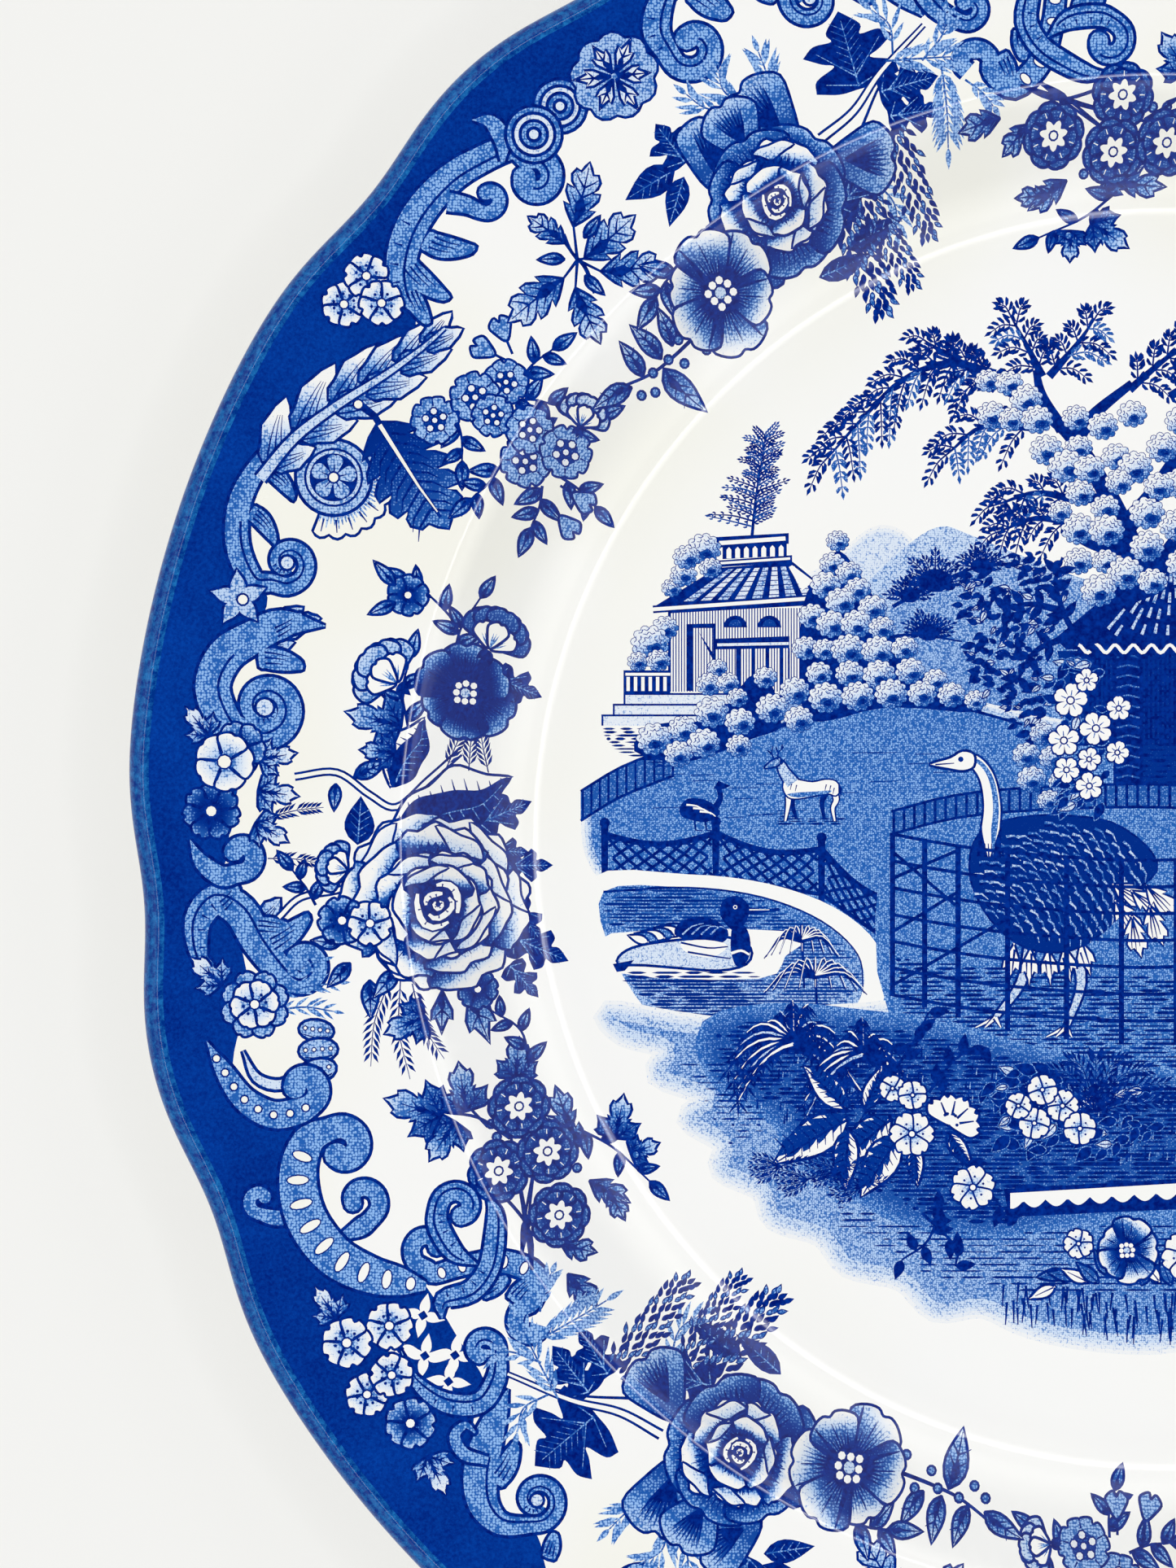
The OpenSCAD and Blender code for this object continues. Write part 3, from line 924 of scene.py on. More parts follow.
def patch(R):
    """A cloud-edged patch with a five-leaved sprig on it."""
    P = R.pen(126.1, 137.6)
    n = 9
    a = np.arange(n * 4) * 360 / (n * 4)
    rr = 5.6 + 0.7 * np.abs(np.sin(np.arange(n * 4) * math.pi / 4))
    p = np.c_[rr * 1.06 * np.cos(np.radians(a)), rr * np.sin(np.radians(a))]
    P.outlined([p], DOTS, 0.42)
    for i in range(6):
        q = P.at(turn=90 + 60 * i)
        leaf(q.at(0.5, 0), 5.6 if i % 2 else 4.9, 2.6, 1, 0.0, 0.2, veins=2)
    for i in range(5):
        P.dab(0.7 * math.cos(1.26 * i), 0.7 * math.sin(1.26 * i), 0.32, n=6)


def rim_flowers(R):
    """The small flowers and leaves that lie on the band."""
    for a, r, t, s in ((220.3, 141, 165, 6.2), (209.2, 140.2, 5, 5.6), (188.2, 140.8, 40, 6.0),
                       (173.4, 142, 45, 5.4), (179.3, 132, -120, 5.6), (177, 131.6, -95, 6.0),
                       (174.8, 131.8, -75, 5.6)):
        fan_leaf(R.pen(a, r, t).at(-1.6, 0), s, s * 0.46, 0.3)
    blossom(R.pen(217.5, 139.6), 3.7, 5, 12, 0.36, dots=0)
    blossom(R.pen(214.6, 142.2), 3.2, 5, 30)
    blossom(R.pen(214.5, 137.7), 3.2, 5, 50)
    blossom(R.pen(211.9, 134.1), 3.5, 5, 8)
    blossom(R.pen(211.4, 140.6), 3.7, 5, 20)
    # big flower on the pearl scroll
    q = R.pen(190.2, 135.6)
    feathers(R, ((190.8, 132.4, -100, 8), (190, 132, -85, 9), (189.2, 132.4, -70, 8)))
    blossom(q, 5.0, 8, 10, 0.4, 0.04, 0)
    blossom(q, 3.6, 6, 30, None, 0.04, 8)
    # pair of flowers
    for a, r, t in ((181.2, 131.6, -97), (178.6, 131.4, -78)):
        q = R.pen(a, r, t)
        feather(q, [(0, 0), (4, 0.3), (8, 0)], 9, 1.7)
    blossom(R.pen(178.3, 139.8), 4.2, 7, 0, 0.55, 0.1, 0)
    blossom(R.pen(174.4, 136.4), 3.9, 6, 25, 0.4, 0.06, 0)
    blossom(R.pen(175.3, 138.3), 4.3, 5, 55, None, 0.05, 0, 0.24)
    # star flower between scrolls
    q = R.pen(165.5, 140.2)
    q.outlined([Pen(turn=90 + 72 * i).sheet(leaf_shape(4.4, 2.9)) for i in range(5)], DOTS, 0.36)
    ring(q, 0, -0.6, 1.0, 0.3)
    for a, r, t in ((147.1, 143.4, 20), (145, 143, 50), (145.8, 139, 0)):
        blossom(R.pen(a, r), 3.3, 5, t)


def feathers(R, rows):
    for a, r, t, s in rows:
        q = R.pen(a, r, t)
        frond(q, [(0, 0), (s * 0.5, 0.3), (s, -0.4)], 5, 2.8, 0.6, 0.5)


def primrose_group(R):
    """Four dark flowers on stems that fan out, with leaves, berries and ferns about them."""
    P = Pen()
    for a, r in ((211.9, 105), (206.4, 109.4), (207, 102), (202.6, 103)):
        for d in (-0.7, 0.7):
            P.stroke(spline(R.line((213.4 + d, 112.4), (211 + d * 0.4, 109.6), (a, r + 2))[:, :2], 5), 0.5,
                     0.35)
    for a, r, t, s, w in ((216, 108.6, 182, 6.4, 3.6), (213.8, 107, 215, 5.6, 3.2),
                          (211, 98.8, 205, 7.0, 3.6), (208.4, 96.6, 20, 8.0, 3.8), (206.6, 98, -14, 7.4, 3.4),
                          (212.6, 97, 170, 5.2, 2.8)):
        leaf(R.pen(a, r, t), s, w, 2, 0.08, 0.55)
    q = R.pen(206.6, 96.6)
    twig(q, [(0, 0), (-5, -3.4), (-12, -6.0)], 4, 4.0, 1.9, 0.6)
    fan_leaf(R.pen(209, 92.4, -40), 6.6, 3.2, 0.5)
    fan_leaf(R.pen(211, 91.6, -100), 4.6, 2.4, 0.5)
    berries(P, [R.point(209.5, 99.4), R.point(211.3, 91), R.point(204, 107.6), R.point(202.9, 107.6)], 0.6)
    # stem with leaves to the right
    P.stroke(spline(R.line((204.6, 106), (202, 109), (200.6, 113.4))[:, :2], 5), 0.5, 0.4)
    P.stroke(spline(R.line((203, 108.2), (200.6, 109.8), (199, 110))[:, :2], 5), 0.45, 0.35)
    fan_leaf(R.pen(201.6, 112.2, 125), 6.8, 3.4, 0.5)
    fan_leaf(R.pen(200.8, 113.8, 52), 8.6, 4.0, 0.5)
    fan_leaf(R.pen(201.2, 110.2, -12), 7.2, 3.4, 0.5)
    fan_leaf(R.pen(200.4, 102, -25), 6.0, 3.2, 0.5)
    q = R.pen(198.8, 98.6)
    twig(q, [(-2, 1), (3.5, 0.4), (8, 3.6)], 5, 3.8, 1.8, 0.55)
    for a, r, p in ((211.9, 105, 8), (206.4, 109.4, 30), (207, 102, 55), (202.6, 103, 20)):
        double_flower(R.pen(a, r), 4.5, p)
    for a, r, t, s in ((190.2, 115.6, 158, 13), (190.4, 114.2, 176, 14.5), (190.8, 112.6, 193, 12)):
        feather(R.pen(a, r, t), [(0, 0), (s * 0.5, -1.0), (s, -0.2)], 14, 2.3, 0.52)


def rose_group(R):
    P = Pen()
    # stems
    for line in ((( 185, 130.5), (183.8, 127), (183.4, 121), (182, 117)),
                 ((175.9, 128), (175.4, 122), (176.8, 117), (177.6, 113), (175.4, 108.6), (173, 104.6))):
        s = spline(R.line(*line)[:, :2], 6)
        P.fill(ribbon(s, np.full(len(s), 1.25)))
        P.fill(ribbon(s, np.full(len(s), 0.55)), WHITE, 0)
    # leaves behind
    for a, r, t, s, w, l in ((188.6, 97.6, -122, 9.5, 5.4, 2), (191, 98.4, -150, 6.6, 3.8, 1),
                             (185.6, 96.6, -150, 7.4, 4.2, 1), (182.4, 97.4, -92, 7.2, 4.2, 1),
                             (178.8, 101.4, -66, 8.8, 5.0, 1), (181, 99.6, -95, 6, 3.6, 1)):
        dark_leaf(R.pen(a, r, t), s, w, l)
    turned_leaf(R.pen(179.2, 113.8, -74), 19, 9.6, 0.14)
    turned_leaf(R.pen(176.2, 114, -22), 11.4, 5.8, 0.0)
    dark_leaf(R.pen(180.4, 118.6, -8), 7.2, 4.6, 0)
    leaf(R.pen(175.6, 119.4, -60), 5.4, 2.6, 0, 0, 0.55)
    leaf(R.pen(176.2, 122, 180), 4.0, 1.9, 0, 0, 0.5, veins=0)
    for t in (-26, -8, 8):
        feather(R.pen(174.4, 101.6 - t * 0.18, t + 4), [(0, 0), (5, 0.4), (9.6, 0)], 11, 2.1)
    # buds and leaves left of the rose
    for a, r, t, s in ((190, 118.6, 172, 5.6), (188.6, 121, 128, 4.8), (187.2, 122, 75, 4.4),
                       (192.4, 105, 190, 8.4), (191.8, 108.6, 168, 6.4), (192, 112, 150, 6.0),
                       (189.6, 114.4, 130, 5.4)):
        leaf(R.pen(a, r, t), s, s * 0.5, 1 if s > 6 else 0, 0, 0.5, veins=2)
    fan_leaf(R.pen(193.4, 111.8, 100), 6.4, 3.2, 0.5)
    twig(R.pen(184.4, 125, 0), [(0, 0), (2.6, 1.2), (5.4, 3.0)], 3, 3.6, 1.8, 0.55)
    cup_flower(R.pen(181.9, 121.6, 70), 3.4, 0.5)
    blossom(R.pen(188.7, 103), 3.7, 5, 12, 0.55, 0.12, 0)
    blossom(R.pen(192.4, 103.6), 2.9, 5, 40, 0.55, 0.12, 0)
    rose(R.pen(185.3, 107.6), 12.3, 0.7)
    blossom(R.pen(185.6, 121.4), 3.5, 5, 5, 0.42, 0.14, 9)
    blossom(R.pen(186, 117.4), 3.3, 5, 30, None, 0.14, 9)
    # flowers right of it
    twig(R.pen(171.6, 112.4, 0), [(0, 0), (5, 1.6), (10, 1.2)], 4, 4.4, 2.0, 0.5)
    fan_leaf(R.pen(171.6, 113.4, 84), 8.4, 3.6, 0.5)
    fan_leaf(R.pen(173.6, 113.8, 92), 5.2, 2.4, 0.5)
    dark_leaf(R.pen(166.3, 101.6, -100), 7.6, 4.6, 2)
    q = R.pen(166, 107)
    twig(q, [(0, 0), (5, 1.6), (8.4, 6.4), (9.6, 10)], 5, 4.2, 2.0, 0.5)
    twig(R.pen(165.4, 108), [(0, 0), (4, 0), (9, -1.6)], 3, 3.8, 1.8, 0.5)
    cup_flower(R.pen(168, 117, 60), 4.9, 0.45)
    bowl_flower(R.pen(168.2, 105.2), 7.0, 0.4, 6, 0.42)
    cup_flower(R.pen(163.1, 103, -10), 4.6, 0.75)
    blossom(R.pen(162.2, 116.8), 3.0, 5, 0, 0.45, 0.1, 0)
    leaf(R.pen(161.8, 119, 60), 4.8, 2.0, 0, 0, 0.5, veins=0)
    leaf(R.pen(163, 118.2, 130), 4.4, 2.0, 0, 0, 0.5, veins=0)


def posy_group(R):
    """Small clustered flowers with leaflets and hearts, and the dark toothed leaf above them."""
    big = R.pen(152.2, 130.6, -122)
    p = leaf_shape(18.6, 12.0, 5, 0.06, 0.3)
    big.outlined([p], DOTS, 0.95, end_tone=0.55, start=(0, 0), end=(18, 0))
    for i in range(9):
        x = 2.0 + 1.6 * i
        for s in (1, -1):
            big.stroke([(x, 0.2), (x + 1.6, s * 2.6), (x + 3.2, s * 3.7)], 0.5, 0.1)
    big.stroke([(-3.4, -1.0), (-1, 0), (4, 0.1), (10, 0.4), (16.5, 0.9)], 1.2, 0.5)
    big.stroke([(0.5, 0), (6, 0.2), (11, 0.4), (15.6, 0.9)], 0.62, 0.2, WHITE, 0)
    ring(big, -3.6, -1.2, 0.9, 0.3)
    # stems and leaflets
    for a, r, t, n, s in ((149.4, 121, -140, 3, 4.2), (146.2, 115.4, -60, 4, 4.4), (150.8, 112, 170, 4, 4.4),
                          (149, 103.6, -96, 3, 4.0), (150.4, 105.4, 196, 4, 4.6), (146.4, 106, -20, 2, 4.0),
                          (144.6, 116.2, -10, 3, 4.2), (147.6, 113.4, -80, 3, 4.2)):
        twig(R.pen(a, r, t), [(0, 0), (3, 0.3), (6.4, -0.2)], n, s, s * 0.48, 0.55)
    for a, r, t in ((144.3, 121.4, 100), (143, 121.2, 60), (151.8, 101, -110), (149.6, 101, -90)):
        q = R.pen(a, r, t)
        q.stroke([(-2.2, 0), (0, 0)], 0.4)
        q.outlined([petal(0.0, 3.6, 3.4, 0.22)], DOTS, 0.45, width=0.4)
    for a, r, s, t in ((150.3, 123.5, 3.5, 0), (145.4, 117.7, 3.3, 40), (147.5, 120.2, 3.7, 20),
                       (147.9, 116.6, 3.1, 60), (149.5, 109.2, 3.7, 10), (147.3, 111, 3.5, 50),
                       (147.1, 105, 3.8, 30)):
        prunus(R.pen(a, r), s, t)
    cup_flower(R.pen(143.9, 105.8, 15), 3.4, 0.4)


def sprig_group(R):
    """A leafy sprig alone on the white ground."""
    P = Pen()
    P.stroke(spline(R.line((136.4, 115.8), (135.6, 119.4), (135.5, 122.4), (135, 125))[:, :2], 5), 0.7, 0.4)
    for a, r, t, s in ((135.4, 124, 96, 6.6), (134.2, 124.8, 28, 9.6), (135.2, 120.4, -8, 9.8),
                       (135, 117.4, -42, 9.6), (137.2, 120.6, 168, 10.4), (137.1, 118.4, -116, 8.8)):
        P.stroke([R.point(135.6, 121), R.point(a, r)], 0.5, 0.35)
        leaf(R.pen(a, r, t), s, s * 0.52, 3, 0.06, 0.45, veins=4)
    for a, r, t in ((136.2, 122.4, 130), (134.2, 122.6, 4), (136, 118.6, -96)):
        leaf(R.pen(a, r, t), 4.0, 1.8, 0, 0.1, 0.5, veins=0)


def peony_group(R):
    P = Pen()
    # berry sprig
    P.stroke(spline(R.line((132, 101.6), (135.4, 101.6), (138, 102.4), (141.6, 105.6))[:, :2], 5), 0.6, 0.4)
    for a, r, t, s in ((139.6, 103, 152, 6.6), (138.3, 102.8, 70, 5.8), (136.2, 102.6, 82, 6.4),
                       (134.8, 102.8, 60, 5.6), (136.6, 101.4, -98, 8.8)):
        leaf(R.pen(a, r, t), s, s * 0.46, 0, 0.16, 0.5, veins=3)
    berries(P,
            [R.point(*p)
             for p in ((139.5, 101.2), (138.5, 100), (137.5, 102.1), (135, 99.8), (134.1, 102.8), (132.8, 99),
                       (135.8, 101.8))],
            0.62)
    # dark leaves behind the blooms
    for a, r, t, s, w, l in ((126.4, 121.6, 172, 8.6, 4.6, 0), (126.2, 120, 214, 7.6, 3.6, 0),
                             (125.6, 121.4, 92, 7.2, 6.0, 2), (117.4, 104.6, 20, 10.6, 6.4, 2),
                             (118, 99.2, -2, 10, 3.6, 0), (121.2, 97.6, -10, 9, 3.4, 0)):
        dark_leaf(R.pen(a, r, t), s, w, l)
    dark_leaf(R.pen(112.4, 118.6, 84), 11.6, 11.4, 2)
    dark_leaf(R.pen(111.2, 117.2, -6), 9.0, 6.6, 2)
    dark_leaf(R.pen(111.2, 113.4, -12), 8.4, 5.0, 2)
    twig(R.pen(130.4, 110.2, 175), [(0, 0), (3, 0.6), (5.4, 1.6)], 3, 5.4, 2.5, 0.5)
    # long stem up to the right
    s = spline(R.line((116.4, 114.4), (113.4, 116), (110.6, 119.8), (106.8, 124.2))[:, :2], 6)
    P.fill(ribbon(s, np.linspace(1.7, 0.9, len(s))))
    P.fill(ribbon(s, np.linspace(0.9, 0.35, len(s))), WHITE, 0)
    s = spline(R.line((113.2, 113.6), (111, 118), (109, 121))[:, :2], 6)
    P.stroke(s, 0.45, 0.3)
    # light ferns
    for line, n, s in ((((120.2, 124), (120.8, 127.4), (120.2, 131)), 7, 4.6),
                       (((118.4, 122.6), (117.8, 126), (117.6, 129.6)), 6, 4.4),
                       (((120.8, 123.4), (122.4, 126.4), (123, 129.6)), 5, 4.0),
                       (((110, 121), (107.4, 119.6), (104.4, 118.2)), 7, 4.6),
                       (((107.6, 119.4), (105.8, 122), (105.2, 125)), 5, 3.6),
                       (((106.4, 117.8), (106.8, 112.4), (107.4, 106.6)), 8, 4.8),
                       (((113.8, 106), (112.8, 102), (113.4, 98)), 5, 3.8),
                       (((109.4, 121.6), (109, 125.6), (109.8, 128.6)), 4, 4.6),
                       (((105, 115), (104, 112.6), (103.4, 110.4)), 4, 3.0)):
        frond(P, R.line(*line)[:, :2], n, s, 0.95, 0.46)
    # catkins
    for a, r, t, s, w in ((111.2, 112.6, -87, 17.6, 5.6), (116.6, 104, -94, 16.4, 6.4),
                          (114.6, 104.6, -84, 15.4, 5.0)):
        spike(R.pen(a, r, t), s, w)
    # blooms
    for a, r, t, s in ((124.4, 118, 60, 8.2), (118.6, 117.6, 110, 9.4), (121.4, 118.6, 92, 7.4),
                       (115.6, 110.4, -20, 8.0)):
        q = R.pen(a, r, t)
        p = petal(-2, s, s * 1.25, 0.06)
        q.outlined([p], DOTS, 0.7, end_tone=0.35, start=(0, 0), end=(s, 0))
        q.fill(comb(0.5, 0.9 * s, -24, 24, 8, 0.15, a), DOTS, 0.7)
        q.fill(comb(0.5, 0.82 * s, -27, 27, 8, 0.3, a), LINE)
    peony(R.pen(121.6, 109.4), 10.6, 0.9)
    bowl_flower(R.pen(129, 103.8), 8.4, 0.7)


def draw_border():
    draw_band(156.0)
    for k in range(3):
        R = Rim(k)
        rim_scrolls(R)
    for k in range(3):
        R = Rim(k)
        rim_flowers(R)
        primrose_group(R)
        rose_group(R)
        posy_group(R)
        sprig_group(R)
        peony_group(R)


# ---------------------------------------------------------------- the centre picture
def noise_of(k):
    """A repeatable number from 0 to 1 for each k."""
    return abs(math.sin(k * 12.9898 + 4.1414) * 43758.5453) % 1


def spans(outline, y):
    """Where a level line at y lies inside an outline, as (x0, x1) pairs."""
    p = np.asarray(outline, float)
    q = np.roll(p, -1, 0)
    hit = (p[:, 1] <= y) != (q[:, 1] <= y)
    x = np.sort(p[hit, 0] + (y - p[hit, 1]) / (q[hit, 1] - p[hit, 1]) * (q[hit, 0] - p[hit, 0]))
    return [(x[i], x[i + 1]) for i in range(0, len(x) - 1, 2)]


def hatch(P, outline, pitch=0.62, width=0.3, dash=7.0, seed=0, ink=LINE, tone=1.0, fade=0.0):
    """Engraved level strokes that fill an outline, their ends tapered."""
    p = np.asarray(outline, float)
    k = seed * 97.0
    for y in np.arange(p[:, 1].min() + pitch / 2, p[:, 1].max(), pitch):
        for x0, x1 in spans(p, y):
            x = x0 - dash * 0.4 * noise_of(k)
            while x < x1:
                k += 1
                length = dash * (0.45 + noise_of(k))
                a, b = max(x, x0 + fade * noise_of(k + 0.3)), min(x + length, x1 - fade * noise_of(k + 0.7))
                if b - a > 0.5:
                    w = width * (0.6 + 0.8 * noise_of(k + 0.5)) / 2
                    m = min(1.0, (b - a) * 0.3)
                    P.fill([(a, y), (a + m, y - w), (b - m, y - w), (b, y), (b - m, y + w), (a + m, y + w)],
                           ink, tone)
                x += length + 0.35 + 0.5 * noise_of(k + 0.9)


def rules(P, x0, x1, y0, y1, pitch=0.7, width=0.26, ink=LINE, tone=1.0):
    """Upright engraved strokes over a wall."""
    for x in np.arange(x0 + pitch / 2, x1, pitch):
        P.fill([(x - width / 2, y0), (x + width / 2, y0), (x + width / 2, y1), (x - width / 2, y1)], ink,
               tone)


def puff(P, x, y, r, seed=0.0, tone=0.3):
    """One frilled clump of foliage, lit from the upper left and darker below."""
    n = 8 + int(r * 1.2) + int(2 * noise_of(seed))
    k = np.arange(n * 4)
    a = k * TAU / len(k) + seed
    rr = r * (0.84 + 0.17 * np.abs(np.sin(k * math.pi / 4)))
    p = np.c_[x + rr * np.cos(a), y + 0.9 * rr * np.sin(a)]
    P.fill(grown(p, 0.11), DOTS, 0.9)
    P.fill(p, DOTS, tone - 0.24, tone + 0.3, (x - 0.3 * r, y + 0.35 * r), (x + 0.35 * r, y - 0.9 * r))
    dx, dy = (0.2 + 0.1 * math.cos(seed * 5)) * r, -0.3 * r
    k = np.arange(10)
    a = k * TAU / 10 + seed
    for size, ink, t in ((0.42, DOTS, 0.7), (0.24, LINE, 1)):
        rr = size * r * (0.75 + 0.5 * np.array([noise_of(seed + 3 * size + i) for i in k]))
        P.fill(np.c_[x + dx + rr * np.cos(a), y + dy + 0.7 * rr * np.sin(a)], ink, t)
    for ring_r, arcs, size in ((0.8, n, 0.15), (0.58, n - 2, 0.15), (0.36, 5, 0.15)):
        for i in range(arcs):
            b = seed + TAU * (i + 0.5 * noise_of(seed + i)) / arcs
            q = P.at(x + ring_r * r * math.cos(b), y + 0.9 * ring_r * r * math.sin(b), math.degrees(b) + 90)
            q.stroke([(-size * r, -0.02 * r), (0, 0.07 * r), (size * r, -0.02 * r)], 0.17, 0.1, DOTS, 0.82)


def clump(P, outline, r=2.2, seed=0, tone=0.3, under=True):
    """Foliage that fills an outline, the lower puffs in front."""
    p = np.asarray(outline, float)
    if under:
        P.fill(spline(p, 3, True), LINE)
    k = seed * 31.0
    row = 0
    for y in np.arange(p[:, 1].max() - r * 0.6, p[:, 1].min(), -r * 1.5):
        row += 1
        for x0, x1 in spans(p, y):
            x = x0 + r * 0.5 * (row % 2)
            while x < x1:
                k += 1
                puff(P, x + 0.6 * r * (noise_of(k) - 0.5), y + 0.7 * r * (noise_of(k + 0.4) - 0.5),
                     r * (0.75 + 0.5 * noise_of(k + 0.7)), k, tone)
                x += r * (1.6 + 0.7 * noise_of(k + 0.2))


def spray(P, path, length=1.9, width=0.55, n=10, ink=LINE, tone=1.0, spread=48):
    """A compound leaf: a curved rib with close pairs of plump leaflets."""
    path = spline(path, 5)
    P.stroke(path, 0.3, 0.14, ink, tone)
    for i in range(n):
        t = (i + 0.5) / n
        k = min(len(path) - 2, int(1 + (len(path) - 2) * t))
        d = path[k + 1] - path[k - 1]
        a = heading(d)
        s = length * (1.08 - 0.35 * t) * min(1, 0.6 + 2.4 * t)
        for side in (1, -1):
            q = P.at(path[k][0], path[k][1], a + side * spread)
            q.fill([(0.05, 0), (0.34 * s, side * 0.1 + width * 0.42), (0.8 * s, width * 0.4),
                    (s, -side * 0.18), (0.8 * s, -width * 0.42), (0.34 * s, side * 0.1 - width * 0.34)], ink,
                   tone)
    d = path[-1] - path[-2]
    P.at(path[-1][0], path[-1][1], heading(d)).fill(
        [(-0.3, 0), (0.3 * length, width / 2), (0.75 * length, 0), (0.3 * length, -width / 2)], ink, tone)


def hanging_bough(P, path, seed=0, length=7.0, thick=1.3, pale=3):
    """A bough with compound leaves on both sides that droop from it, the farthest ones pale."""
    line = spline(path, 5)
    P.fill(ribbon(line, np.linspace(thick, 0.3, len(line))))
    d = run_along(line)
    n = max(4, int(d[-1] / 2.5))
    leaves = []
    for i in range(n):
        at = d[-1] * (i + 0.6) / n
        x, y = np.interp(at, d, line[:, 0]), np.interp(at, d, line[:, 1])
        k = min(len(line) - 2, max(1, int(np.searchsorted(d, at))))
        g = line[k + 1] - line[k - 1]
        for side in (1, -1):
            a = heading(g) + side * (38 + 26 * noise_of(i + seed + side))
            s = length * (0.6 + 0.45 * noise_of(i * 3 + seed + side)) * (1 - 0.25 * i / n)
            leaves.append((x, y, a, s,
                           noise_of(i * 5 + seed + side) * 6 < pale and side * g[0] < 0 and i > 0))
    k = len(line) - 1
    g = line[k] - line[k - 2]
    leaves.append((line[k][0], line[k][1], heading(g), length * 0.7, False))
    for x, y, a, s, soft in sorted(leaves, key=lambda leaf: not leaf[4]):
        u = unit(a)
        p0 = np.array([x, y])
        p1 = p0 + u * s * 0.5
        p2 = p0 + u * s * 0.92 + [0, -0.28 * s]
        spray(P, [p0, p1, p2], 1.75, 0.62, max(4, int(s / 0.85)), DOTS if soft else LINE,
              0.6 if soft else 1.0)


def small_star(P, x, y, r, turn=0.0):
    """A white five-petalled flower on a dark ground."""
    q = P.at(x, y, turn)
    ps = [Pen(turn=72 * i).sheet(petal(0.1 * r, r, 0.8 * r, 0.05)) for i in range(5)]
    for p in ps:
        q.fill(grown(p, 0.26))
    for p in ps:
        q.fill(p, WHITE, 0)
    for i in range(5):
        q.at(turn=72 * i).stroke([(0.3 * r, 0), (0.62 * r, 0)], 0.2, 0.1, DOTS, 0.6)
    ring(q, 0, 0, 0.24 * r + 0.1, 0.24)


def palm(P, x, y, r, n=13, seed=0, droop=0.75, a0=-10, a1=190):
    """A tuft of arching fronds, pale ribs over dark hanging leaflets."""
    for i in range(n):
        a = a0 + (a1 - a0) * i / (n - 1)
        u = unit(a)
        s = r * (0.8 + 0.35 * noise_of(i + seed))
        t = np.linspace(0, 1, 7)[:, None]
        c = np.array([x, y]) + u * s * t * (1 - 0.12 * t) + np.array([0, -1]) * droop * s * t**2 * (
            0.35 + 0.65 * abs(u[0]))
        P.stroke(c, 1.9, 0.3)
        P.stroke(c + [0.1, 0.2], 0.46, 0.14, WHITE if i % 3 else DOTS, 0 if i % 3 else 0.3)
        for k in range(2, 7):
            for side in (-38, 0, 38):
                P.at(c[k][0], c[k][1], 270 + side).fill([(0, 0), (0.9, 0.24), (2.6, 0), (0.9, -0.24)])


def fence_run(P, posts, height, sag=1.6, pitch=2.1):
    """A trellis fence between posts, its top rail hanging in swags."""
    for (x0, y0), (x1, y1) in zip(posts, posts[1:]):
        t = np.linspace(0, 1, 9)
        top = np.c_[x0 + (x1 - x0) * t, y0 + (y1 - y0) * t - sag * np.sin(np.pi * t)]
        base = np.c_[x0 + (x1 - x0) * t, y0 + (y1 - y0) * t - height]
        P.stroke(top, 0.9)
        P.stroke(base, 0.6)
        n = max(3, int(math.hypot(x1 - x0, y1 - y0) / pitch))
        for i in range(-3, n + 1):
            for k in (1, -1):
                a, b = (i, i + 3) if k > 0 else (i + 3, i)
                seg = []
                for j in range(5):
                    u = (a + (b - a) * j / 4) / n
                    if -0.01 <= u <= 1.01:
                        tx, ty = np.interp(u, t, top[:, 0]), np.interp(u, t, top[:, 1])
                        by = np.interp(u, t, base[:, 1])
                        seg.append((tx, ty + (by - ty) * j / 4))
                if len(seg) > 1:
                    P.stroke(seg, 0.46)
    for x, y in posts:
        P.stroke([(x, y + 1.2), (x, y - height - 1.2)], 1.15, 0.9)
        P.dab(x, y + 1.7, 0.8)


def palings(P, line, height, pitch, width):
    """Upright pales along a line, pale on dark."""
    line = np.asarray(line, float)
    d = run_along(line)
    top = line + [0, height]
    P.fill(np.r_[line, top[::-1]], DOTS, 0.6)
    for s in np.arange(0.4, d[-1], pitch):
        x, y = np.interp(s, d, line[:, 0]), np.interp(s, d, line[:, 1])
        P.stroke([(x, y), (x, y + height)], width)
    P.stroke(top)
    P.stroke(line)


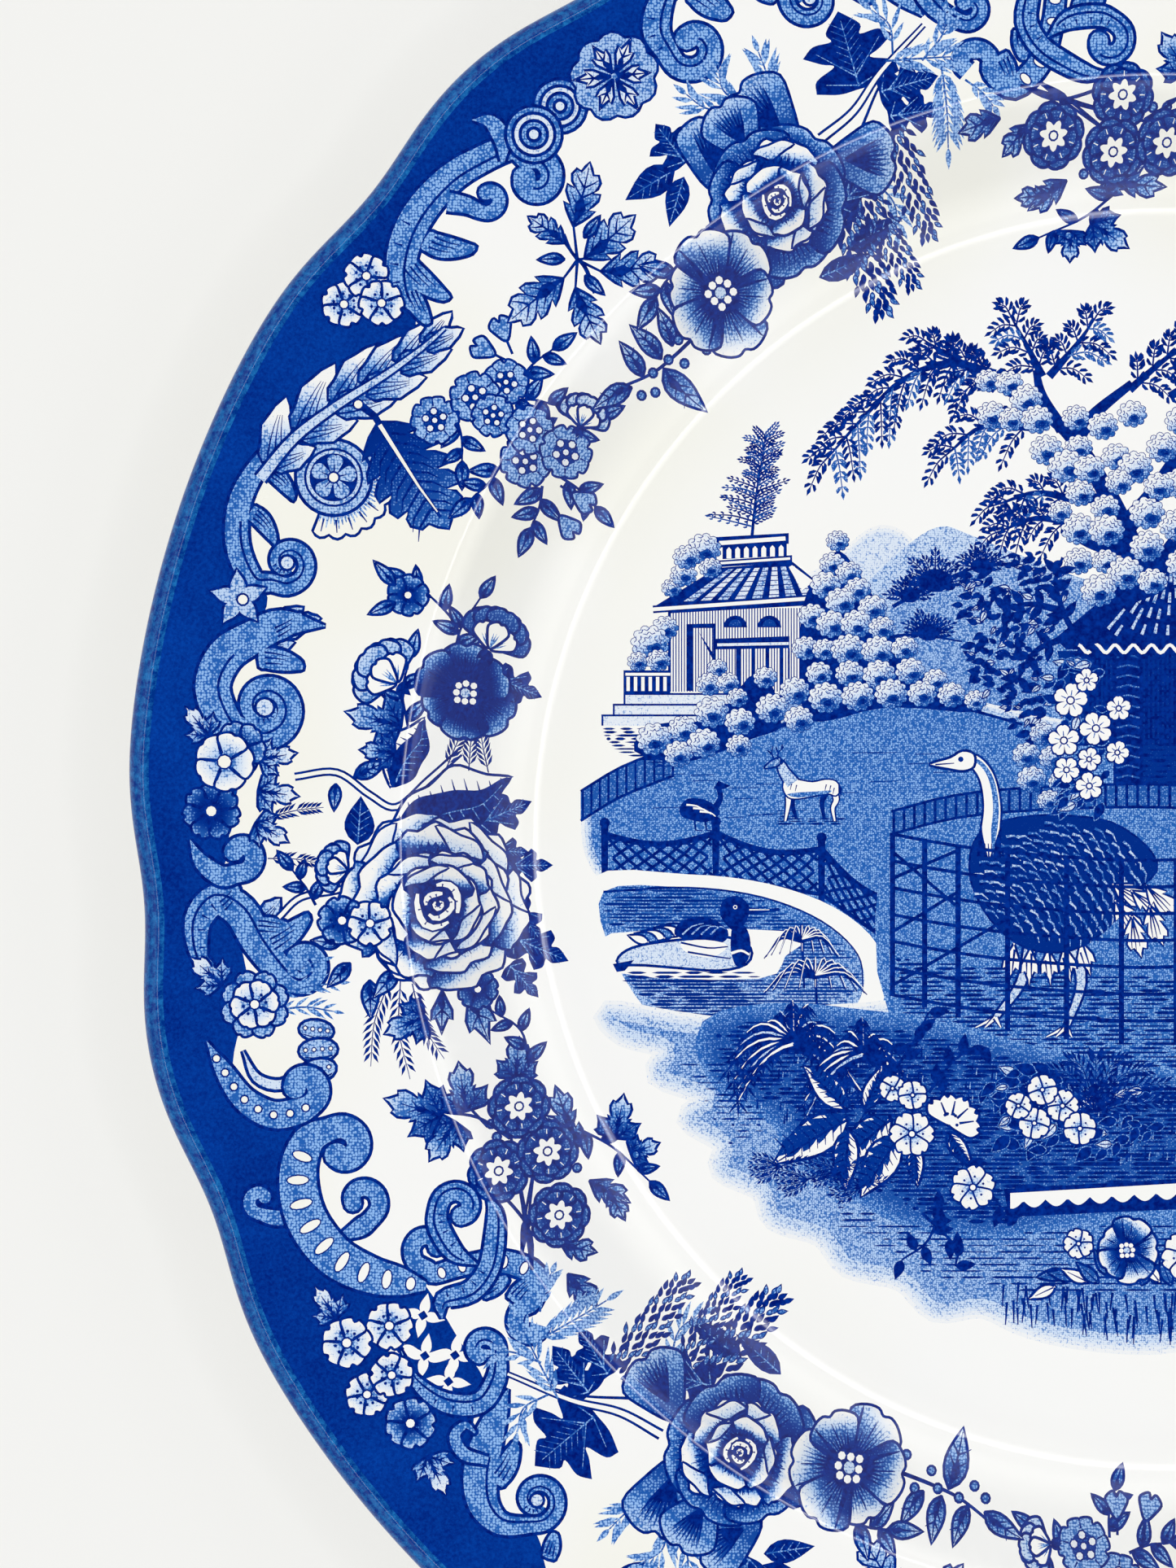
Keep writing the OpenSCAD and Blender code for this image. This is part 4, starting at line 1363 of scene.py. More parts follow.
def pavilion(P):
    """A small garden pavilion on steps, with a lantern on its tiled roof."""
    P.fill([(-72.8, 21.9), (-51.8, 21.9), (-51.8, 34.6), (-72.8, 34.4)], WHITE, 0)
    rules(P, -72.8, -51.8, 21.9, 34.4, 0.42, 0.17, DOTS, 0.85)
    P.stroke([(-72.8, 34.4), (-72.8, 21.9)], 0.3)
    P.fill([(-72.8, 33.6), (-51.8, 34.8), (-51.8, 36.4), (-73.2, 35.2)])
    P.fill([(-70.2, 22), (-69.2, 22), (-69.2, 31.4), (-66.2, 31.4), (-66.2, 27.6), (-68.4, 30.9), (-65.9, 26),
            (-65.9, 32.1), (-70.2, 32)])
    for x in (-62.9, -57.8):
        arch = [(math.cos(a), math.sin(a)) for a in np.linspace(0, math.pi, 9)]
        P.fill(np.array(arch) * [1.8, 1.8] + [x, 31.5])
        P.fill(np.array(arch) * [1.0, 1.0] + [x, 31.7], DOTS, 0.75)
    P.fill([(-65.9, 28.2), (-54.8, 28.4), (-54.8, 30.2), (-65.9, 29.8)])
    P.stroke([(-65.6, 28.9), (-54.9, 29.1)], 0.42, 0.42, DOTS, 0.15)
    for x, w in ((-62.4, 0.8), (-60.2, 0.55), (-58.1, 0.55), (-56, 0.55), (-54.9, 0.3)):
        P.fill([(x - w / 2, 21), (x + w / 2, 21), (x + w / 2, 28.4), (x - w / 2, 28.4)])
    P.fill([(-75.2, 34.5), (-65.6, 40.4), (-54.3, 41.3), (-51, 38.6), (-51.8, 35.8)])
    for i in range(8):
        a, b = np.array([-70.6 + 2.55 * i, 35.4 + 0.11 * i]), np.array([-63.9 + 1.3 * i, 40.2 + 0.06 * i])
        w = np.array([1.5, 0.06])
        P.fill([a, a + w, b + w * 0.5, b], DOTS, 0.16 if i % 2 else 0.3)
        for k in range(6):
            c = a + (b - a) * (k + 0.6) / 6.4
            P.stroke([c, c + w * (1 - 0.07 * k)], 0.14, 0.14, DOTS, 0.85)
    P.fill([(-52.9, 37), (-51.2, 38.4), (-54.4, 40.8), (-54.9, 40.5)], WHITE, 0)
    eave = [(-75.2, 34.2), (-52.2, 35.8)]
    P.stroke(eave, 1.15)
    P.stroke(eave, 0.55, 0.55, WHITE, 0)
    P.fill([(-65.4, 40.5), (-54.4, 41.2), (-54.4, 42.3), (-65.4, 41.5)])
    P.stroke([(-65.1, 41.1), (-54.7, 41.8)], 0.36, 0.36, WHITE, 0)
    P.fill([(-64.8, 41.7), (-55.2, 42.2), (-55.2, 44), (-64.8, 43.6)])
    for i in range(7):
        x, y = -64.2 + 1.3 * i, 41.8 + 0.06 * i
        P.fill([(x, y), (x + 0.72, y), (x + 0.72, y + 1.3), (x + 0.36, y + 1.7), (x, y + 1.3)], WHITE, 0)
    P.fill([(-65.8, 43.4), (-54.9, 44), (-54.9, 45.6), (-65.8, 45)])
    P.stroke([(-65.3, 44.1), (-55.4, 44.8)], 0.62, 0.62, WHITE, 0)
    for x0, x1, y in ((-79.6, -62.6, 20), (-81.2, -61.6, 18.4), (-82.9, -66, 16.8)):
        P.fill([(x0, y), (x1, y), (x1, y + 1.7), (x0, y + 1.7)])
        P.fill([(x0 + 0.3, y), (x1, y), (x1, y + 1.4), (x0 + 0.3, y + 1.4)], DOTS, 0.14)
    hatch(P, [(-82.6, 15.4), (-80.8, 13), (-74, 10.6), (-70, 13), (-72, 16.8), (-82.8, 16.8)], 0.5, 0.34, 3.4,
          61)
    P.fill([(-79.6, 21.6), (-72.6, 21.6), (-72.6, 25.1), (-79.6, 25.1)])
    P.stroke([(-79.3, 24.5), (-72.6, 24.5)], 0.42, 0.42, WHITE, 0)
    for i in range(6):
        P.stroke([(-78.9 + 1.1 * i, 22), (-78.9 + 1.1 * i, 24.1)], 0.5, 0.5, WHITE, 0)


def deer(P):
    """A pale deer that stands with its head to the left."""
    hatch(P, [(-7, -6.8), (7.4, -6.6), (8, -5.2), (-6, -5.0)], 0.5, 0.34, 3, 5)
    for leg in ([(-3.2, 0), (-3.5, -2.4), (-2.7, -5.4)], [(3.5, 0), (2.5, -2.2), (3.0, -5.6)]):
        q = spline(leg, 4)
        P.fill(ribbon(q, np.linspace(1.5, 0.62, len(q))))
    for leg in ([(-4.2, 0.6), (-4.3, -2.6), (-4.9, -6.0)],
                [(4.6, 0.8), (5.4, -1.6), (4.7, -3.4), (5.1, -6.0)]):
        q = spline(leg, 4)
        P.fill(ribbon(q, np.linspace(2.0, 0.86, len(q))))
        P.fill(ribbon(q, np.linspace(1.3, 0.3, len(q))), WHITE, 0)
    neck = spline([(-3.4, 1.6), (-5.0, 3.8), (-5.8, 5.4), (-6.6, 6.1)], 4)
    body = spline([(-5.3, 0.9), (-4.5, 2.6), (-2.4, 2.3), (0.6, 1.8), (3.2, 2.3), (5.2, 2.0), (6.1, 0.5),
                   (5.3, -0.8), (3.8, -0.4), (1.2, -0.8), (-2.2, -1.4), (-4.3, -1.1)], 3, True)
    P.fill(ribbon(neck, np.linspace(3.4, 1.7, len(neck))))
    P.fill(grown(body, 0.34))
    P.fill(body, WHITE, 0)
    P.fill(ribbon(neck, np.linspace(2.6, 0.9, len(neck))), DOTS, 0.3)
    P.outlined([spline([(-5.9, 6.8), (-7.3, 6.5), (-9.0, 5.1), (-8.9, 4.6), (-7.4, 4.8), (-6.0, 5.4)], 3,
                       True)], DOTS, 0.4, 0.4)
    P.fill(spline([(-4.6, -0.6), (-2, -0.2), (1.4, 0), (4.4, 0.2), (3.8, -0.4), (1.2, -0.8), (-2.2, -1.3)], 2,
                  True), DOTS, 0.5)
    for x, y in ((-3.6, 1.6), (-2.6, 1.3), (3.4, 1.4), (4.3, 1.2), (5.0, 0.7)):
        P.stroke([(x, y), (x - 0.3, y - 1.3)], 0.26, 0.1)
    P.fill([(5.8, 1.4), (6.6, 0.6), (6.4, -1.0), (5.8, -0.2)])
    P.fill([(-6.2, 6.0), (-4.7, 6.7), (-5.6, 5.3)])
    for p in ([(-6.5, 6.4), (-6.3, 7.9), (-5.2, 9.0)], [(-6.3, 7.7), (-6.8, 9.0)],
              [(-7.1, 6.3), (-7.7, 7.7), (-7.4, 9.2)], [(-7.6, 7.5), (-8.5, 8.3)],
              [(-5.6, 8.5), (-5.5, 9.5)]):
        P.stroke(p, 0.42, 0.24)


def little_bird(P):
    P.fill(spline([(-3.6, 0.4), (-2.4, 1.7), (0, 1.6), (1.8, 0.6), (2.4, -0.6), (0.4, -1.8), (-2.2, -1.4),
                   (-3.4, -0.8)], 3, True))
    P.stroke(spline([(1.6, 0.2), (2.5, 1.8), (2.2, 3.4)], 3), 1.0, 0.7)
    P.fill([(1.4, 3.2), (2.2, 4.4), (4.0, 3.6), (2.6, 3.0)])
    for i in range(3):
        P.stroke(spline([(-2.6 + i, 0.8 - 0.5 * i), (-1 + i, 0.6 - 0.5 * i), (0.4 + 0.7 * i, -0.2 - 0.4 * i)],
                        2), 0.3, 0.14, WHITE, 0)
    for x in (-1.4, 0.2):
        P.stroke([(x, -1.4), (x + 0.2, -3.0), (x + 1.2, -3.1)], 0.3, 0.2)


def duck(P):
    """A duck afloat: dark head and breast, pale flank, ribbed tail."""
    body = spline([(-12.4, -2.6), (-9.6, -1.4), (-4, -0.6), (3.4, -0.2), (6.8, -1.8), (6.2, -4.2), (2, -5.2),
                   (-4, -4.8), (-9, -4.4), (-13, -4.2)], 3, True)
    P.fill(spline([(-14, 0.4), (14, 0.6), (12, -3), (8, -6.4), (-14, -5.4)], 3, True), WHITE, 0)
    P.outlined([body], DOTS, 0.22, 0.42)
    P.fill([(-13.8, -4.2), (-10.6, -3.6), (-12.0, -5.2), (-13.2, -5.4)])
    P.fill(spline([(6.0, 1.4), (6.8, -1), (6.4, -3.6), (4.8, -4.6), (4.0, -3), (3.8, -1), (4.2, 1.6)], 3,
                  True))
    P.stroke(spline([(3.9, -2.6), (5.4, -2.2), (6.6, -2.8)], 3), 0.42, 0.3, WHITE, 0)
    for i in range(6):
        t = i / 6
        q = P.at(-2.2 - 7.4 * t, 0.6 - 1.9 * t, 168 - 8 * t)
        q.outlined([leaf_shape(4.6 - 1.4 * t, 1.9 - 0.5 * t)], WHITE if i % 2 else DOTS, 0.5 * (i % 2 == 0),
                   0.34)
    wing = spline([(-4.6, 0.2), (-3.2, 2.4), (0.6, 2.7), (3.4, 0.8), (2.6, -1.0), (-1.0, -0.9)], 3, True)
    P.fill(wing)
    for i in range(4):
        P.stroke(spline([(-3.4 + 1.4 * i, 0.2), (-2.0 + 1.4 * i, 1.4), (-0.2 + 1.1 * i, 1.9 - 0.3 * i)], 2),
                 0.26, 0.12, DOTS, 0.4)
    P.fill(spline([(-3.6, -1), (0, -0.6), (3.4, -1.4), (1, -3.2), (-2.6, -2.6)], 3, True), WHITE, 0)
    P.stroke(spline([(-3.6, -1), (0.4, -1.8), (3.4, -1.6)], 3), 0.3, 0.2)
    P.stroke(spline([(-2.6, -2.4), (1, -3.0), (3.8, -3.4)], 3), 0.3, 0.2)
    P.fill(disc(4.2, 3.4, 1, 16) * [1, 1])
    P.fill(spline([(2.2, 3.4), (2.8, 5.4), (4.8, 6.0), (6.4, 4.8), (6.6, 3.4), (5.8, 1.6), (4.4, 0.8),
                   (3.2, 1.6)], 3, True))
    P.fill([(6.2, 4.4), (8.6, 4.0), (11.0, 4.2), (11.2, 3.8), (8.4, 3.4), (6.4, 3.2)])
    P.stroke([(6.6, 3.9), (9.6, 3.9)], 0.18, 0.1, WHITE, 0)
    ring(P, 4.5, 4.3, 0.62, 0.3)
    P.dab(4.5, 4.3, 0.2, n=6)


def tall_bird(P):
    """A generic large running bird: bare neck, dark body, white plumes at wing and tail."""
    for leg in ([(-4, -10), (-5.6, -16.4), (-9.4, -21.6)], [(2, -10), (3.4, -16.4), (1.2, -23)]):
        leg = spline(leg, 4)
        P.fill(ribbon(leg, np.linspace(2.6, 1.4, len(leg))))
        P.fill(ribbon(leg, np.linspace(1.7, 0.7, len(leg))), DOTS, 0.25)
        x, y = leg[-1]
        for dx in (-3.0, -1.6, 0.8):
            P.stroke([(x, y), (x + dx, y - 1.5)], 1.1, 0.4)
            P.stroke([(x, y), (x + dx, y - 1.5)], 0.5, 0.14, WHITE, 0)
    for k, (x, y) in enumerate(((-6.6, -10.4), (-4.2, -11), (-1.6, -11), (0.8, -10.6), (3.2, -9.8))):
        q = P.at(x, y, 262 + 6 * k)
        q.outlined([leaf_shape(6.0, 2.8, 1)], WHITE, 0, 0.36)
        q.stroke([(1, 0.2), (4.6, 0.3)], 0.4, 0.14)
        q.stroke([(2, -0.5), (4.2, -0.4)], 0.3, 0.12)
    body = spline([(-12.6, 4.4), (-9.6, 7.2), (-4, 8.4), (2, 8.4), (8, 7.4), (13, 4), (14.6, 0.4), (11, -3),
                   (7.4, -8), (2, -11.4), (-4.6, -11.2), (-10, -7), (-13, -1)], 3, True)
    P.fill(grown(body, 0.3))
    P.fill(body, DOTS, 0.9)
    for row in range(12):
        for i in range(17):
            x = -12.4 + 1.62 * i + 0.8 * (row % 2)
            y = 7.0 - 1.5 * row + 0.4 * math.sin(1.3 * i)
            if ((x - 0.6) / 12.8) ** 2 + ((y + 1.4) / 8.8) ** 2 < 1:
                q = P.at(x, y, -24 - 2.6 * x - 4 * row)
                q.stroke([(-1.1, 0), (0, 0.4), (1.2, 0)], 0.4, 0.1, DOTS, 0.3 + 0.3 * noise_of(row + i * 1.7))
                q.stroke([(-1.0, -0.45), (0, -0.05), (1.1, -0.45)], 0.34, 0.12)
    for k, (x, y, t, s) in enumerate(
        ((8, -1.6, -34, 5.4), (8.4, -4, -60, 5.6), (10.8, -2.6, -38, 5.8), (13, -1.8, -48, 5.6),
         (13.6, -4.8, -78, 5.4), (11, -6.4, -84, 5.4))):
        q = P.at(x, y, t)
        q.outlined([leaf_shape(1.2 * s, 3.2, 2, 0.12)], WHITE, 0, 0.34)
        for j in (-0.5, 0.1, 0.7):
            q.stroke([(0.4, 0), (s * 0.6, 0.9 * j), (s * (1.0 - 0.2 * abs(j)), j)], 0.3, 0.1)
    neck = spline([(-10.4, 2.4), (-10.2, 6), (-9.9, 10), (-10.6, 14), (-12.2, 16.4), (-14.2, 17.2)], 5)
    foot = np.minimum(1, np.linspace(0.1, 4, len(neck)))
    P.fill(ribbon(neck, np.linspace(3.6, 2.3, len(neck))))
    P.fill(ribbon(neck, np.linspace(2.9, 1.6, len(neck)) * foot), WHITE, 0)
    P.fill(ribbon(neck + [0.55, 0], np.linspace(1.1, 0.5, len(neck)) * foot), DOTS, 0.5)
    head = spline([(-12.6, 17.8), (-14.4, 18.3), (-16.2, 17.3), (-18.9, 16.5), (-19, 16.0), (-16.4, 15.5),
                   (-14.2, 15.2), (-12.6, 15.9)], 3, True)
    P.outlined([head], WHITE, 0, 0.42)
    P.stroke([(-18.4, 16.2), (-15.6, 16.4)], 0.24, 0.14)
    P.fill(disc(-14.6, 17.0, 0.42, 8))
    for i in range(4):
        P.stroke([(-10.9 + 0.5 * i, 2.6 - 0.3 * i), (-11 + 0.5 * i, 4.4)], 0.3, 0.12)


def soft(P, outline, tones, step=0.8):
    """A stippled ground with an edge that fades away."""
    for i, tone in enumerate(tones):
        P.fill(grown(outline, step * (len(tones) - 1 - i)), DOTS, tone)


def bush(P, x, y, r, n=9):
    """A low dark bush of upright leaves."""
    for i in range(n):
        a = rad(8 + 164 * i / (n - 1))
        s = r * (0.8 + 0.4 * noise_of(i + x))
        spray(P, [(x + 0.3 * r * math.cos(a), y), (x + 0.6 * s * math.cos(a), y + 0.55 * s * math.sin(a)),
                  (x + s * math.cos(a), y + 0.85 * s * math.sin(a))], 1.25, 0.42, max(3, int(s / 0.8)))
    P.fill(disc(0, 0, 1, 10) * [r * 0.5, r * 0.36] + [x, y + 0.1 * r])


def draw_far(P):
    """Hills and trees far off."""
    soft(P, spline([(-54, 36), (-48, 40.6), (-42.5, 45.4), (-38.6, 45.2), (-37, 42), (-38, 30)], 4, True),
         (0.05, 0.13, 0.2), 0.5)
    P.fill(spline([(-50, 30), (-43, 38.4), (-36.4, 44.4), (-32, 46.6), (-28, 45.4), (-20, 42.2), (-8, 38),
                   (8, 36), (20, 40), (32, 42), (44, 36), (58, 28), (70, 21), (76, 13), (66, 8), (-50, 10)],
                  4, True), DOTS, 0.28, 0.4, (-34, 46), (-30, 26))
    near = spline([(-48, 26), (-42.6, 30.6), (-36, 36.6), (-26, 40.6), (-14, 39), (8, 32), (30, 30),
                   (52, 24), (70, 12), (60, 6), (-46, 8)], 4, True)
    P.fill(near, DOTS, 0.4, 0.46, (0, 38), (0, 18))
    P.stroke(spline([(-39.4, 34.6), (-33, 38), (-27, 40.4), (-21, 41.2)], 5), 0.6, 0.3)
    for x, y, r in ((-36.8, 36, 3.2), (-33, 38, 5.0), (-26.2, 40.4, 3.2), (-34, 30.4, 3.6)):
        bush(P, x, y, r)
    P.stroke(spline([(-42, 29.8), (-36, 30.4), (-29, 29.4)], 5), 0.6, 0.24)
    trunk = spline([(-60.4, 45), (-59.8, 51), (-58.4, 60)], 5)
    P.stroke(trunk, 0.5, 0.2)
    for i in range(34):
        t = i / 33
        y, x = 46.6 + 13.4 * t, -60.4 + 2.0 * t
        w = 5.4 * (1 - 0.62 * t) * (0.5 + 0.7 * noise_of(i))
        s = 1 if i % 2 else -1
        spray(P, [(x, y), (x + s * w * 0.5, y + 0.8), (x + s * w, y + 0.6 + 1.4 * noise_of(i + 0.5))], 0.9,
              0.36, 5, DOTS if i % 3 == 0 else LINE, 0.7)


def draw_meadow(P):
    ground = spline([(-84.4, 2), (-83, 6), (-77, 9.6), (-70, 12), (-60, 15.6), (-50, 18.4), (-40, 20.2),
                     (-30, 19.6), (-18, 17), (-6, 15), (12, 15), (34, 20), (50, 16), (66, 13), (79, 8),
                     (84, 1), (84, -11), (79, -23), (70, -32), (60, -40), (-60, -40), (-76, -12), (-83, -4)],
                    4, True)
    soft(P, ground, (0.1, 0.22, 0.34, 0.5), 0.5)
    P.stroke(spline([(-78, 9), (-70, 12), (-60, 15.6), (-50, 18.4), (-40, 20.2), (-30, 19.6), (-20, 17)], 5),
             0.9, 0.4)
    palings(P, spline([(-86, 2.6), (-80, 6.2), (-72, 9.4)], 3), 4.4, 1.5, 0.34)
    for k in range(26):
        x, y = -76 + 52 * noise_of(k), 3 + 13 * noise_of(k + 0.4)
        if y < 12 + (x + 76) * 0.16:
            P.stroke([(x, y), (x + 2.6 + 2 * noise_of(k + 0.8), y + 0.1)], 0.16, 0.1, DOTS, 0.85)


def draw_pond(P):
    bank = spline([(-84.6, -6), (-70, -5.4), (-58, -6.8), (-48, -10.4), (-41.6, -16), (-40.4, -23),
                   (-44, -28.6), (-52, -31), (-60, -30), (-70, -33), (-76, -30), (-84, -20)], 4, True)
    P.fill(bank, WHITE, 0)
    water = spline([(-82.6, -8), (-70, -7.4), (-59, -8.8), (-50, -12.4), (-44.6, -17.4), (-43.8, -22.6),
                    (-46.8, -26.4), (-56, -28), (-66, -30.6), (-74, -28), (-81, -18)], 4, True)
    P.fill(water, DOTS, 0.52, 0.36, (0, -8), (0, -28))
    hatch(P, water, 0.5, 0.26, 9.0, 3, DOTS, 0.82, 5.0)
    hatch(P, spline([(-82, -9), (-66, -9), (-74, -12), (-82, -13)], 3, True), 0.5, 0.3, 5.0, 4, DOTS, 0.95,
          2.0)
    hatch(P, spline([(-80, -20), (-62, -21), (-58, -25), (-66, -29.6), (-74, -27)], 3, True), 0.5, 0.36, 6.0,
          6, DOTS, 0.95, 3.0)
    P.stroke(spline([(-82.6, -8), (-70, -7.4), (-59, -8.8), (-50, -12.4), (-44.6, -17.4), (-43.8, -22.6)], 5),
             0.34, 0.2)
    duck(P.at(-67.4, -14.6))
    hatch(P, [(-80, -21.6), (-58, -21.6), (-60, -20), (-79, -20)], 0.6, 0.34, 4.0, 8)
    for x, y, r in ((-53, -15.4, 5.6), (-51, -20.8, 7.8)):
        P.stroke([(x, y + 2.6), (x + 0.4, y - 7)], 0.5, 0.3)
        for i in range(11):
            a = 180 - 18 * i
            u = unit(a)
            c = spline([(x, y), (x + 0.55 * r * u[0], y + 0.5 * u[1] * r * 0.6 + 0.4),
                        (x + r * u[0], y - 2.6 + 0.8 * u[1])], 3)
            P.stroke(c, 0.62, 0.15)
            P.stroke(c + [0.1, 0.35], 0.2, 0.08, WHITE, 0)


def draw_ground(P):
    """The near ground, which fades into the white below."""
    left = [(-82, -26), (-72, -27.6), (-62, -28.6), (-52, -27), (-44, -26.4), (-37, -26.4), (-20, -31.4),
            (-6, -33.6), (6, -35.4), (16, -39.4), (32, -41.6), (50, -40.6), (63, -36.6), (71, -31),
            (77, -28.6), (80, -31)]
    right = [(76, -36.4), (73, -41), (67, -46), (59, -50), (54, -56), (46, -60), (40, -66), (30, -68),
             (22, -72), (10, -73.4), (0, -75.4), (-12, -74.6), (-20, -72.6), (-26, -70), (-33, -70.6),
             (-38, -66), (-46, -64), (-50, -59.4), (-57, -57), (-59, -52.6), (-65, -49.6), (-64.6, -45.6),
             (-70, -42), (-67, -38.6), (-74.6, -35.4), (-73, -31.4), (-79.6, -29.4)]
    ground = spline(left + right, 4, True)
    soft(P, ground, (0.06, 0.13, 0.2, 0.28), 0.6)
    P.fill(grown(ground, -1.2), DOTS, 0.5, 0.36, (-20, -44), (-44, -74))
    P.fill(spline([(-10, -24), (20, -20), (44, -22), (62, -34), (50, -46), (10, -46), (-20, -40)], 4, True),
           DOTS, 0.5)


def draw_enclosure(P):
    """A round wire pen with pales behind and the tall bird inside."""
    P.fill(spline([(-40, 1), (-28, 4), (-10, 6), (4, 6), (18, 3), (22, -4), (22, -20), (14, -34), (-6, -36),
                   (-20, -34), (-40, -26)], 4, True), DOTS, 0.5)
    palings(P, spline([(-39.6, 0.6), (-30, 3), (-18, 4.2), (2, 4.6), (16, 2.6), (22, -1)], 4), 3.4, 1.6, 0.42)
    hatch(P, [(-39, -18), (2, -21), (21, -17), (20, -25), (10, -34), (-6, -35), (-20, -33), (-38, -27)], 0.66,
          0.34, 5, 12)
    tall_bird(P.at(-14.6, -5.2))
    for i, x in enumerate((-39.4, -34.6, -29.6, -22.2, -13.4, -5.2, 3.0, 10.4, 16.6, 21.6)):
        drop = (0, 0.9, 1.7, 2.7, 3.4, 3.8, 3.8, 3.0, 1.8, 0)[i]
        P.stroke([(x, 0.8 - drop), (x, -23.6 - drop * 1.9)], 0.8)
    for k in range(7):
        y = 0.6 - 4.0 * k
        line = spline([(-39.4, y), (-33, y - 1.2), (-24, y - 2.5), (-12, y - 3.5), (0, y - 3.9),
                       (12, y - 2.9), (21.6, y)], 4)
        P.stroke(line, 0.5)
    for (x0, y0), (x1, y1) in (((-39.4, -6), (-29.6, -1.8)), ((-39.4, -14), (-29.6, -8)),
                               ((-39.4, -22), (-22.2, -12)), ((-39.4, -2), (-30, -10))):
        P.stroke([(x0, y0), (x1, y1)], 0.5)


def draw_hut(P):
    """A thatched aviary on dark posts."""
    P.fill([(-14.8, 28), (17, 28), (15, 3), (-4.4, 3), (-4.4, 12), (-12, 16)], DOTS, 0.85)
    rules(P, -13, 15, 14, 28, 0.7, 0.4)
    hatch(P, [(-13, 28), (16, 28), (14, 4), (-5, 4), (-5, 12), (-13, 14)], 0.8, 0.36, 3.4, 21)
    for x in (-6.4, 8.4):
        P.fill([(x, 29), (x + 4.4, 29), (x + 4.4, 2), (x, 2)])
        for y in np.arange(3, 28, 1.5):
            P.stroke([(x + 0.5, y), (x + 2.2, y + 0.4), (x + 3.9, y)], 0.26, 0.26, DOTS, 0.6)
    P.fill([(-15.2, 29.8), (-13.4, 28.2), (17.4, 28.2), (19, 29.8), (6, 41), (2, 45), (0, 42.4)])
    for i in range(13):
        for k in range(5):
            t = (k + 0.3 + 0.4 * noise_of(i + k)) / 5.4
            x0, y0 = -8.6 + 2.05 * i, 29.6
            x, y = x0 + (2.4 - x0) * t, y0 + (42.6 - y0) * t
            P.stroke([(x, y), (x + (2.4 - x0) * 0.11, y + 1.5)], 0.5, 0.34, DOTS, 0.3)
    wave = np.array([(x, 28.3 - 0.6 * math.sin(2.3 * x)) for x in np.arange(-11.6, 16, 0.35)])
    P.stroke(wave - [0, 0.5], 1.1)
    P.stroke(wave, 0.5, 0.5, WHITE, 0)


def draw_foliage(P):
    """Bushes about the pavilion, on the slope and along the meadow's edge."""
    P.fill(spline([(-53, 20), (-53, 34), (-50, 40), (-47.4, 43), (-44, 39), (-40, 32), (-36, 25), (-26, 19),
                   (-40, 19.6), (-50, 17.4)], 3, True))
    P.fill(spline([(-78, 13), (-75, 17), (-66, 18), (-61, 24), (-58, 24), (-56, 17), (-60, 15), (-70, 11.4)],
                  3, True))
    for i, (x, y, r) in enumerate((
                                      (-72.4, 37.4, 1.5), (-70.6, 39.4, 2.0), (-67.6, 43.2, 2.6),
                                      (-70.2, 42, 2.0), (-66.6, 40.4, 1.7), (-73.4, 31.4, 2.0),
                                      (-75.6, 29.2, 2.9), (-77.4, 26.4, 1.6), (-74.4, 26.6, 1.8),
                                      (-47.6, 44.4, 1.7), (-48.4, 41, 1.9), (-46, 39.6, 2.0),
                                      (-49.4, 37.8, 2.3), (-44.6, 37.2, 2.0), (-47.2, 35.4, 2.3),
                                      (-42.4, 34.4, 2.2), (-51.4, 33.2, 2.1), (-48.6, 32, 2.3),
                                      (-44.8, 32, 2.4), (-41, 31.4, 2.0), (-52.4, 28.4, 2.0),
                                      (-49.6, 28.2, 1.8), (-46, 28.2, 2.6), (-41.6, 28, 2.5),
                                      (-37.6, 28.4, 2.0), (-50.4, 24.6, 2.0), (-45.8, 24.6, 2.2),
                                      (-41.4, 24.4, 2.5), (-36.8, 25, 2.2), (-33, 23.6, 1.9),
                                      (-58.4, 24, 1.8), (-54, 22, 2.3), (-57.4, 19.4, 2.5), (-49.4, 21, 2.6),
                                      (-44.6, 21.2, 2.5), (-39.6, 21.6, 2.5), (-35, 21.6, 2.2),
                                      (-30.6, 21.4, 2.1), (-27, 20.6, 1.7), (-53.4, 17.8, 2.2),
                                      (-65.6, 25.4, 1.5), (-66.8, 23, 1.9), (-64, 23.2, 1.7),
                                      (-62.6, 21, 1.6), (-66.4, 18.8, 2.6), (-62.2, 17.4, 2.3),
                                      (-70.8, 16.2, 2.3), (-75, 14.8, 2.7), (-67.6, 14.2, 2.5),
                                      (-62.4, 13.8, 1.9), (-71.4, 12.6, 2.2))):
        puff(P, x, y, r, i * 1.7, 0.34)


def leaf_cloud(P, outline, n, seed, size=1.5, halo=0.0):
    """Plump dark leaves scattered over an outline, one in four of them pale."""
    p = np.asarray(outline, float)
    low, high = p.min(0), p.max(0)
    k, made = seed * 53.0, 0
    while made < n:
        k += 1
        x, y = low[0] + (high[0] - low[0]) * noise_of(k), low[1] + (high[1] - low[1]) * noise_of(k + 0.37)
        if not any(a <= x <= b for a, b in spans(p, y)):
            continue
        made += 1
        s = size * (0.7 + 0.6 * noise_of(k + 0.61))
        q = P.at(x, y, 200 + 110 * (noise_of(k + 0.83) - 0.5))
        leaf = leaf_shape(1.25 * s, 0.72 * s)
        if halo:
            q.fill(grown(leaf, halo), DOTS, 0.5)
        q.fill(leaf)
        if made % 4 == 0:
            q.fill(grown(leaf, -0.2), DOTS, 0.24)
            q.stroke([(0.1 * s, 0), (0.9 * s, 0)], 0.2, 0.1)


